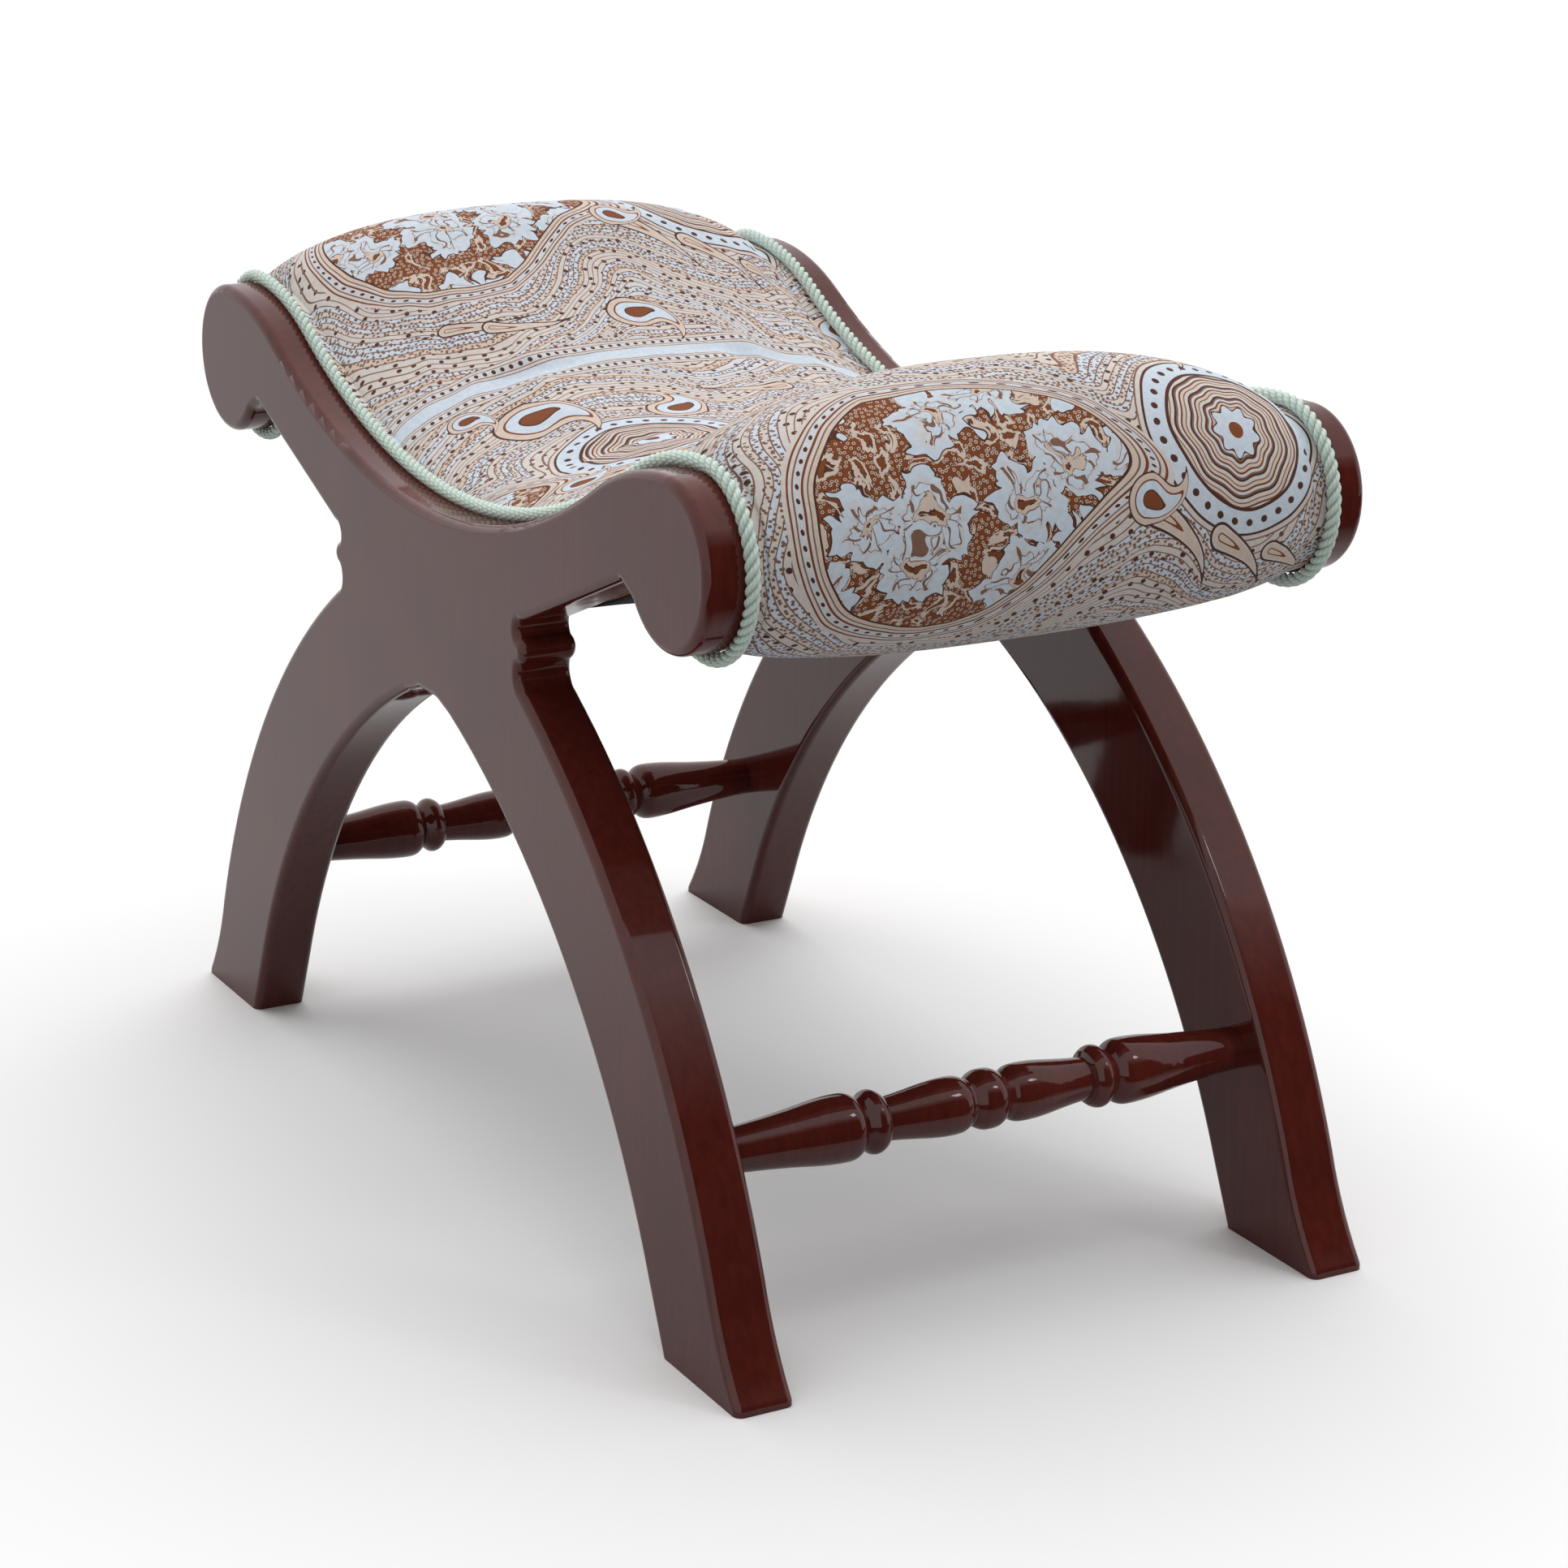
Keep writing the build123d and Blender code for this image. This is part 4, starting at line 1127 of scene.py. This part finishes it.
def cotton_felt():
    """Matted cotton felt: pale, matt and fibrous."""
    material = new_material("cotton_felt")
    tree = material.node_tree
    place = add(tree, "TexCoord").outputs["Object"]
    # Tufts about four millimetres across, with fibres within them
    tufts = add(
        tree,
        "TexNoise",
        inputs={"Vector": place, "Scale": 250.0, "Detail": 6.0, "Distortion": 1.5},
    )
    colour = add(
        tree,
        "ValToRGB",
        tufts,
        stops=((0, linear("#a79f8c")), (0.5, linear("#cfc8b8")), (0.75, linear("#e2dccd"))),
    )
    relief = add(tree, "Bump", inputs={"Height": tufts, "Strength": 0.8, "Distance": 0.001})
    shader = add(
        tree,
        "BsdfPrincipled",
        inputs={"Base Color": colour, "Roughness": 1.0, "Sheen Weight": 0.3, "Normal": relief},
    )
    add(tree, "OutputMaterial", shader)
    return material


def black_cambric():
    """Non-woven dust cloth: thin black felt with a pressed dimple every two millimetres."""
    material = new_material("black_cambric")
    tree = material.node_tree
    flat = add(tree, "UVMap", uv_map="cloth")
    cloth = add(tree, "VectorMath", flat, MILLIMETRES, operation="SCALE")
    dimples = add(tree, "TexVoronoi", inputs={"Vector": cloth, "Scale": 0.5, "Randomness": 0.15})
    fibres = add(tree, "TexNoise", inputs={"Vector": cloth, "Scale": 1.6, "Detail": 5.0})
    colour = add(
        tree,
        "ValToRGB",
        fibres,
        stops=((0, linear("#0c0c0d")), (0.6, linear("#1b1b1d")), (0.8, linear("#2a2a2c"))),
    )
    relief = add(
        tree,
        "Bump",
        inputs={"Height": dimples.outputs["Distance"], "Strength": 0.5, "Distance": 0.0003},
    )
    shader = add(
        tree,
        "BsdfPrincipled",
        inputs={"Base Color": colour, "Roughness": 0.9, "Normal": relief},
    )
    add(tree, "OutputMaterial", shader)
    return material


def lay_pad(felt, stations):
    """Lays the pad over the slats, under the cover and clear of it."""
    saddle = shape()
    grow = -saddle.rebate_depth - FELT_UNDER_COVER
    half = saddle.inner_face - FELT_OFF_FRAMES
    steps = range(-PAD_STEPS, PAD_STEPS + 1)
    under = roll_share(-PAD_DEPTH) / PAD_STEPS
    rings = []
    for share in stations:
        crown = crown_at(share)
        over = roll_share(grow, crown) / PAD_STEPS
        line = [line_place(over * i, grow, crown)[:2] for i in steps]
        line += [line_place(under * i, -PAD_DEPTH)[:2] for i in reversed(steps)]
        rings.append([Vector((x, share * half, z)) for x, z in line])
    bm = bmesh.new()
    loft(bm, rings)
    pad = new_piece("seat_stuffing", bm, felt)
    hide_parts("seat_pad")


def arc(x, z, radius, start, end):
    """Points (x, z) of an arc about a middle, from one angle to another."""
    angles = [start + (end - start) * i / ROLL_STEPS for i in range(ROLL_STEPS + 1)]
    return [(x + radius * cos(angle), z + radius * sin(angle)) for angle in angles]


def wrap_roll(felt, stations, name, side):
    """Wraps a roll of stuffing round the core on one side."""
    saddle = shape()
    grow = -saddle.rebate_depth - FELT_UNDER_COVER
    half = saddle.inner_face - FELT_OFF_FRAMES
    inner_r = saddle.core_radius + FELT_OFF_CORES
    top = pi / 2
    rings = []
    for share in stations:
        crown = crown_at(share)
        roll_x, roll_z, roll_r, *_ = saddle_sizes(grow, crown)
        end = HOOK_ANGLE + CROWN_HOOK_TURN * crown
        outer = arc(roll_x, roll_z, roll_r, top - ROLL_START_OUTSIDE, end)
        inner = arc(*scroll_centre(), inner_r, top - ROLL_START_INSIDE, HOOK_ANGLE)
        rings.append([Vector((side * x, share * half, z)) for x, z in outer + inner[::-1]])
    bm = bmesh.new()
    loft(bm, rings)
    roll = new_piece(f"{name}_roll_felt", bm, felt)
    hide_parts(f"{name}_roll_stuffing")


# Studio


def white_room(studio):
    """White to the eye and in the gloss, and a plain ambient light for everything else."""
    world = bpy.data.worlds.new("studio")
    world.use_nodes = True
    tree = world.node_tree
    tree.nodes.clear()
    path = add(tree, "LightPath").outputs
    seen = add(tree, "Math", path["Is Camera Ray"], path["Is Glossy Ray"], operation="MAXIMUM")
    seen = add(tree, "Math", seen, path["Is Transmission Ray"], operation="MAXIMUM")
    strength = add(tree, "MapRange", seen, 0.0, 1.0, studio.ambient, 1.0)
    light = add(tree, "Background", WHITE, strength)
    add(tree, "OutputWorld", light)
    return world


def floor_paint(studio):
    """Matt floor paint: whiter to the eye and in the gloss than in the light that it throws back."""
    material = new_material("matt_floor_paint")
    tree = material.node_tree
    place = add(tree, "TexCoord").outputs["Object"]
    grit = add(tree, "TexNoise", inputs={"Vector": place, "Scale": 3.0, "Detail": 2.0})
    grit = add(tree, "MapRange", grit, 0.3, 0.7, 0.99, 1.0)
    # The gloss sees it less white than the eye does
    path = add(tree, "LightPath").outputs
    mirrored = add(tree, "Math", path["Is Glossy Ray"], 0.62, operation="MULTIPLY")
    seen = add(tree, "Math", path["Is Camera Ray"], mirrored, operation="MAXIMUM")
    bright = add(tree, "Mix", seen, studio.floor, WHITE, data_type="RGBA")
    colour = add(tree, "VectorMath", bright, grit, operation="SCALE")
    add(tree, "OutputMaterial", add(tree, "BsdfDiffuse", colour))
    return material


def flag_cloth():
    """Black felt, thin at its near and upper edges, so that its reflection fades there."""
    material = new_material("black_flag_cloth")
    tree = material.node_tree
    # Distances in metres at which each edge starts and stops to fade
    split = add(tree, "SeparateXYZ", add(tree, "TexCoord").outputs["Object"])
    near = add(tree, "MapRange", split.outputs["X"], 0.32, 0.55, 0.0, 1.0)
    high = add(tree, "MapRange", split.outputs["Z"], 2.6, 1.3, 0.0, 1.0)
    thick = add(tree, "Math", near, high, operation="MULTIPLY")
    cloth = add(tree, "BsdfDiffuse", linear("#161312"))
    cloth = add(tree, "MixShader", thick, add(tree, "BsdfTransparent"), cloth)
    add(tree, "OutputMaterial", cloth)
    return material


def pale_floor(studio):
    """A floor that keeps the stool's shadow."""
    bm = bmesh.new()
    bmesh.ops.create_grid(bm, x_segments=8, y_segments=8, size=FLOOR_HALF)
    floor = new_object("studio_floor", bm, floor_paint(studio))


def dark_flag():
    """A dark cloth on the floor beside the stool and up behind it, which only the gloss sees."""
    low = Matrix.Translation(FLAG_ON_FLOOR)
    upright = Matrix.Translation(FLAG_BEHIND) @ Matrix.Rotation(pi / 2, 4, "Y")
    bm = bmesh.new()
    for place in (low, upright):
        bmesh.ops.create_grid(bm, x_segments=1, y_segments=1, size=FLAG_HALF, matrix=place)
    flag = new_object("dark_flag", bm, flag_cloth())
    flag.visible_camera = False
    flag.visible_diffuse = False
    flag.visible_shadow = False


def hang_lamps(studio):
    """A broad soft window, which the gloss doesn't see, and a small lamp that it does."""
    window = bpy.data.lights.new("window", "SUN")
    window.energy = studio.window
    window.angle = studio.window_angle
    accent = bpy.data.lights.new("accent_lamp", "AREA")
    accent.size = 0.25
    accent.energy = studio.accent
    for data, place in ((window, studio.window_from), (accent, ACCENT_PLACE)):
        lamp = bpy.data.objects.new(data.name, data)
        lamp.location = place
        lamp.rotation_euler = Vector(place).to_track_quat("Z", "Y").to_euler()
        lamp.visible_glossy = data is accent
        bpy.context.scene.collection.objects.link(lamp)


def aim_camera(studio):
    """The camera of the photograph, leaning a little to one side."""
    data = bpy.data.cameras.new("camera")
    data.lens = studio.lens
    data.sensor_width = 36.0
    data.clip_end = 100.0
    look = (CAMERA_TARGET - CAMERA_PLACE).normalized()
    right = look.cross(Vector((0, 0, 1))).normalized()
    up = right.cross(look)
    right, up = (
        right * cos(CAMERA_ROLL) + up * sin(CAMERA_ROLL),
        up * cos(CAMERA_ROLL) - right * sin(CAMERA_ROLL),
    )
    turn = Matrix((right, up, -look)).transposed().to_4x4()
    camera = bpy.data.objects.new("camera", data)
    camera.matrix_world = Matrix.Translation(CAMERA_PLACE) @ turn
    bpy.context.scene.collection.objects.link(camera)
    return camera


# Operators


class LacquerFrames(bpy.types.Operator):
    """Lacquers both end frames and both stretchers"""

    bl_idname = "saddle_stool.lacquer_frames"
    bl_label = "Lacquer frames"

    def execute(self, context):
        repaint(WOOD_PIECES + STRETCHERS, lacquered_wood())
        return {"FINISHED"}


class FinishHiddenWood(bpy.types.Operator):
    """Gives the ledgers, slats, roll cores and dowels their bare wood"""

    bl_idname = "saddle_stool.finish_hidden_wood"
    bl_label = "Finish hidden wood"

    def execute(self, context):
        repaint(HIDDEN_WOOD + SLATS + DOWELS, planed_wood())
        return {"FINISHED"}


class FinishScrews(bpy.types.Operator):
    """Plates the screws of the seat"""

    bl_idname = "saddle_stool.finish_screws"
    bl_label = "Finish screws"

    def execute(self, context):
        repaint(SCREWS, zinc_steel())
        return {"FINISHED"}


class StuffSeat(bpy.types.Operator):
    """Lays the pad over the slats and a roll of stuffing round each core"""

    bl_idname = "saddle_stool.stuff_seat"
    bl_label = "Stuff seat"

    def execute(self, context):
        felt = cotton_felt()
        steps = range(-FELT_STATIONS, FELT_STATIONS + 1)
        stations = [sin(pi / 2 * i / FELT_STATIONS) for i in steps]
        lay_pad(felt, stations)
        wrap_roll(felt, stations, "left", -1)
        wrap_roll(felt, stations, "right", 1)
        return {"FINISHED"}


class CoverSeat(bpy.types.Operator):
    """Stretches the printed cover over the saddle and both rolls"""

    bl_idname = "saddle_stool.cover_seat"
    bl_label = "Cover seat"

    def execute(self, context):
        saddle = shape()
        style = context.scene.cover_print
        grow = saddle.soft_gap - saddle.rebate_depth + style.thickness
        half = saddle.inner_face + saddle.rebate_width - saddle.soft_gap
        cushion_half = saddle.inner_face - saddle.soft_gap
        along = half_length(grow, 1.0) / TUCK_START
        bm = bmesh.new()
        print_map = bm.loops.layers.uv.new("print")
        bmesh.ops.create_grid(
            bm, x_segments=COVER_STEPS_ALONG, y_segments=COVER_STEPS_ACROSS, size=1.0
        )
        places = {
            vert: (vert.co.x, cover_row(vert.co.y, cushion_half, half)) for vert in bm.verts
        }
        # The print lies in metres along and across the cloth
        for face in bm.faces:
            for loop in face.loops:
                run, y = places[loop.vert]
                loop[print_map].uv = (run * along, y)
        # The tucked ends lie between the frames, so their corners over the rails are cut away
        tucked = {
            vert
            for vert, (run, y) in places.items()
            if abs(run) > TUCK_START - CORNER_MARGIN and abs(y) > cushion_half - 1e-6
        }
        corners = [face for face in bm.faces if tucked.issuperset(face.verts)]
        normals = {}
        for vert, (run, y) in places.items():
            vert.co, normals[vert] = cover_place(run, y, grow)
        bmesh.ops.delete(bm, geom=corners, context="FACES")
        bm.verts.index_update()
        rest = [(*places[vert], normals[vert]) for vert in bm.verts]
        cover = new_piece("printed_cover", bm, printed_cotton())
        pins = [
            index
            for index, (run, y, _) in enumerate(rest)
            if abs(run) > TUCK_START - HELD_MARGIN or abs(y) > cushion_half - TACK_MARGIN
        ]
        stretch(cover, pins, [normal for _, _, normal in rest], style.settle)
        for vert, (run, y, normal) in zip(cover.data.vertices, rest):
            if abs(run) <= TUCK_START:
                vert.co += normal * fold_depth(run * along, y)
        thicken(cover, style.thickness)
        smooth = cover.modifiers.new("smooth", "SUBSURF")
        smooth.levels = 1
        smooth.render_levels = 1
        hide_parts("seat_cover")
        return {"FINISHED"}


class LayRopes(bpy.types.Operator):
    """Lays a twisted rope over each edge of the cover"""

    bl_idname = "saddle_stool.lay_ropes"
    bl_label = "Lay ropes"

    def execute(self, context):
        saddle = shape()
        trim = context.scene.rope_trim
        thickness = context.scene.cover_print.thickness
        cord = satin_cord()
        offset = thickness + 2 * saddle.soft_gap - saddle.rebate_depth + trim.radius
        half = half_length(offset, 0.0, trim.hook_turn)
        middle = saddle.inner_face + FRAME_THICKNESS - trim.face_inset
        for name, side in (("near", -1), ("far", 1)):
            bm = bmesh.new()
            twist_rope(bm, 2 * half)
            for vert in bm.verts:
                run = vert.co.x / half - 1
                x, z, nx, nz = line_place(run, offset, 0.0, trim.hook_turn)
                out = vert.co.z
                vert.co = Vector((x + nx * out, side * middle + vert.co.y, z + nz * out))
            rope = new_piece(f"{name}_twisted_rope", bm, cord)
            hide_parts(f"{name}_rope_trim")
        return {"FINISHED"}


class FitDustCover(bpy.types.Operator):
    """Stretches the dust cover under the ledgers"""

    bl_idname = "saddle_stool.fit_dust_cover"
    bl_label = "Fit dust cover"

    def execute(self, context):
        saddle = shape()
        depth = DUST_COVER_DEPTH
        half = saddle.inner_face - saddle.soft_gap
        full = half_length(-depth)
        valley = saddle_sizes()[4]
        along = DUST_COVER_REACH * (valley + depth) / valley
        bm = bmesh.new()
        cloth = bm.loops.layers.uv.new("cloth")
        bmesh.ops.create_grid(bm, x_segments=60, y_segments=30, size=1.0)
        for face in bm.faces:
            for loop in face.loops:
                run, across, _ = loop.vert.co
                loop[cloth].uv = (run * DUST_COVER_REACH, across * half)
        for vert in bm.verts:
            run, across, _ = vert.co
            x, z, nx, nz = line_place(run * along / full, -depth)
            # Wrinkles some centimetres apart, and no sag where the ends are tacked
            wrinkle = noise.noise(Vector((run * 9, across * 6, 0)))
            sag = DUST_COVER_SAG * (1 - across**2) + DUST_COVER_WRINKLE * wrinkle
            sag = max(0.0, sag * (1 - run**8))
            vert.co = Vector((x - nx * sag, across * half, z - nz * sag))
        bmesh.ops.recalc_face_normals(bm, faces=bm.faces)
        sheet = new_piece("cambric_dust_cover", bm, black_cambric())
        thicken(sheet, DUST_COVER_THICKNESS)
        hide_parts("dust_cover")
        return {"FINISHED"}


class SetStage(bpy.types.Operator):
    """Sets up the pale floor, the soft lamps and the camera"""

    bl_idname = "saddle_stool.set_stage"
    bl_label = "Set stage"

    def execute(self, context):
        scene = context.scene
        studio = scene.studio_setup
        scene.view_settings.view_transform = "Standard"
        scene.world = white_room(studio)
        pale_floor(studio)
        dark_flag()
        hang_lamps(studio)
        scene.camera = aim_camera(studio)
        return {"FINISHED"}


class STOOL_PT_pieces(bpy.types.Panel):
    """Lists the steps that finish the stool, and their settings"""

    bl_label = "Saddle Stool"
    bl_idname = "STOOL_PT_pieces"
    bl_space_type = "VIEW_3D"
    bl_region_type = "UI"
    bl_category = "Saddle Stool"

    def draw(self, context):
        for operator in OPERATORS:
            self.layout.operator(operator.bl_idname)
        for name, _ in SETTINGS:
            box = self.layout.box()
            group = getattr(context.scene, name)
            for field in group.bl_rna.properties:
                if field.identifier not in ("rna_type", "name"):
                    box.prop(group, field.identifier)


OPERATORS = (
    LacquerFrames,
    FinishHiddenWood,
    FinishScrews,
    StuffSeat,
    CoverSeat,
    LayRopes,
    FitDustCover,
    SetStage,
)
SETTINGS = (
    ("saddle_shape", SaddleShape),
    ("cover_print", CoverPrint),
    ("rope_trim", RopeTrim),
    ("wood_finish", WoodFinish),
    ("studio_setup", StudioSetup),
)


def register():
    """Registers the settings, the operators and the panel."""
    for name, group in SETTINGS:
        bpy.utils.register_class(group)
        setattr(bpy.types.Scene, name, PointerProperty(type=group))
    for operator in OPERATORS:
        bpy.utils.register_class(operator)
    bpy.utils.register_class(STOOL_PT_pieces)


def unregister():
    """Takes back what register did, in the opposite order."""
    bpy.utils.unregister_class(STOOL_PT_pieces)
    for operator in reversed(OPERATORS):
        bpy.utils.unregister_class(operator)
    for name, group in reversed(SETTINGS):
        delattr(bpy.types.Scene, name)
        bpy.utils.unregister_class(group)


def main():
    register()
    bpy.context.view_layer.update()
    bpy.ops.saddle_stool.lacquer_frames()
    bpy.ops.saddle_stool.finish_hidden_wood()
    bpy.ops.saddle_stool.finish_screws()
    bpy.ops.saddle_stool.stuff_seat()
    bpy.ops.saddle_stool.cover_seat()
    bpy.ops.saddle_stool.lay_ropes()
    bpy.ops.saddle_stool.fit_dust_cover()
    bpy.ops.saddle_stool.set_stage()


if __name__ == "__main__":
    main()
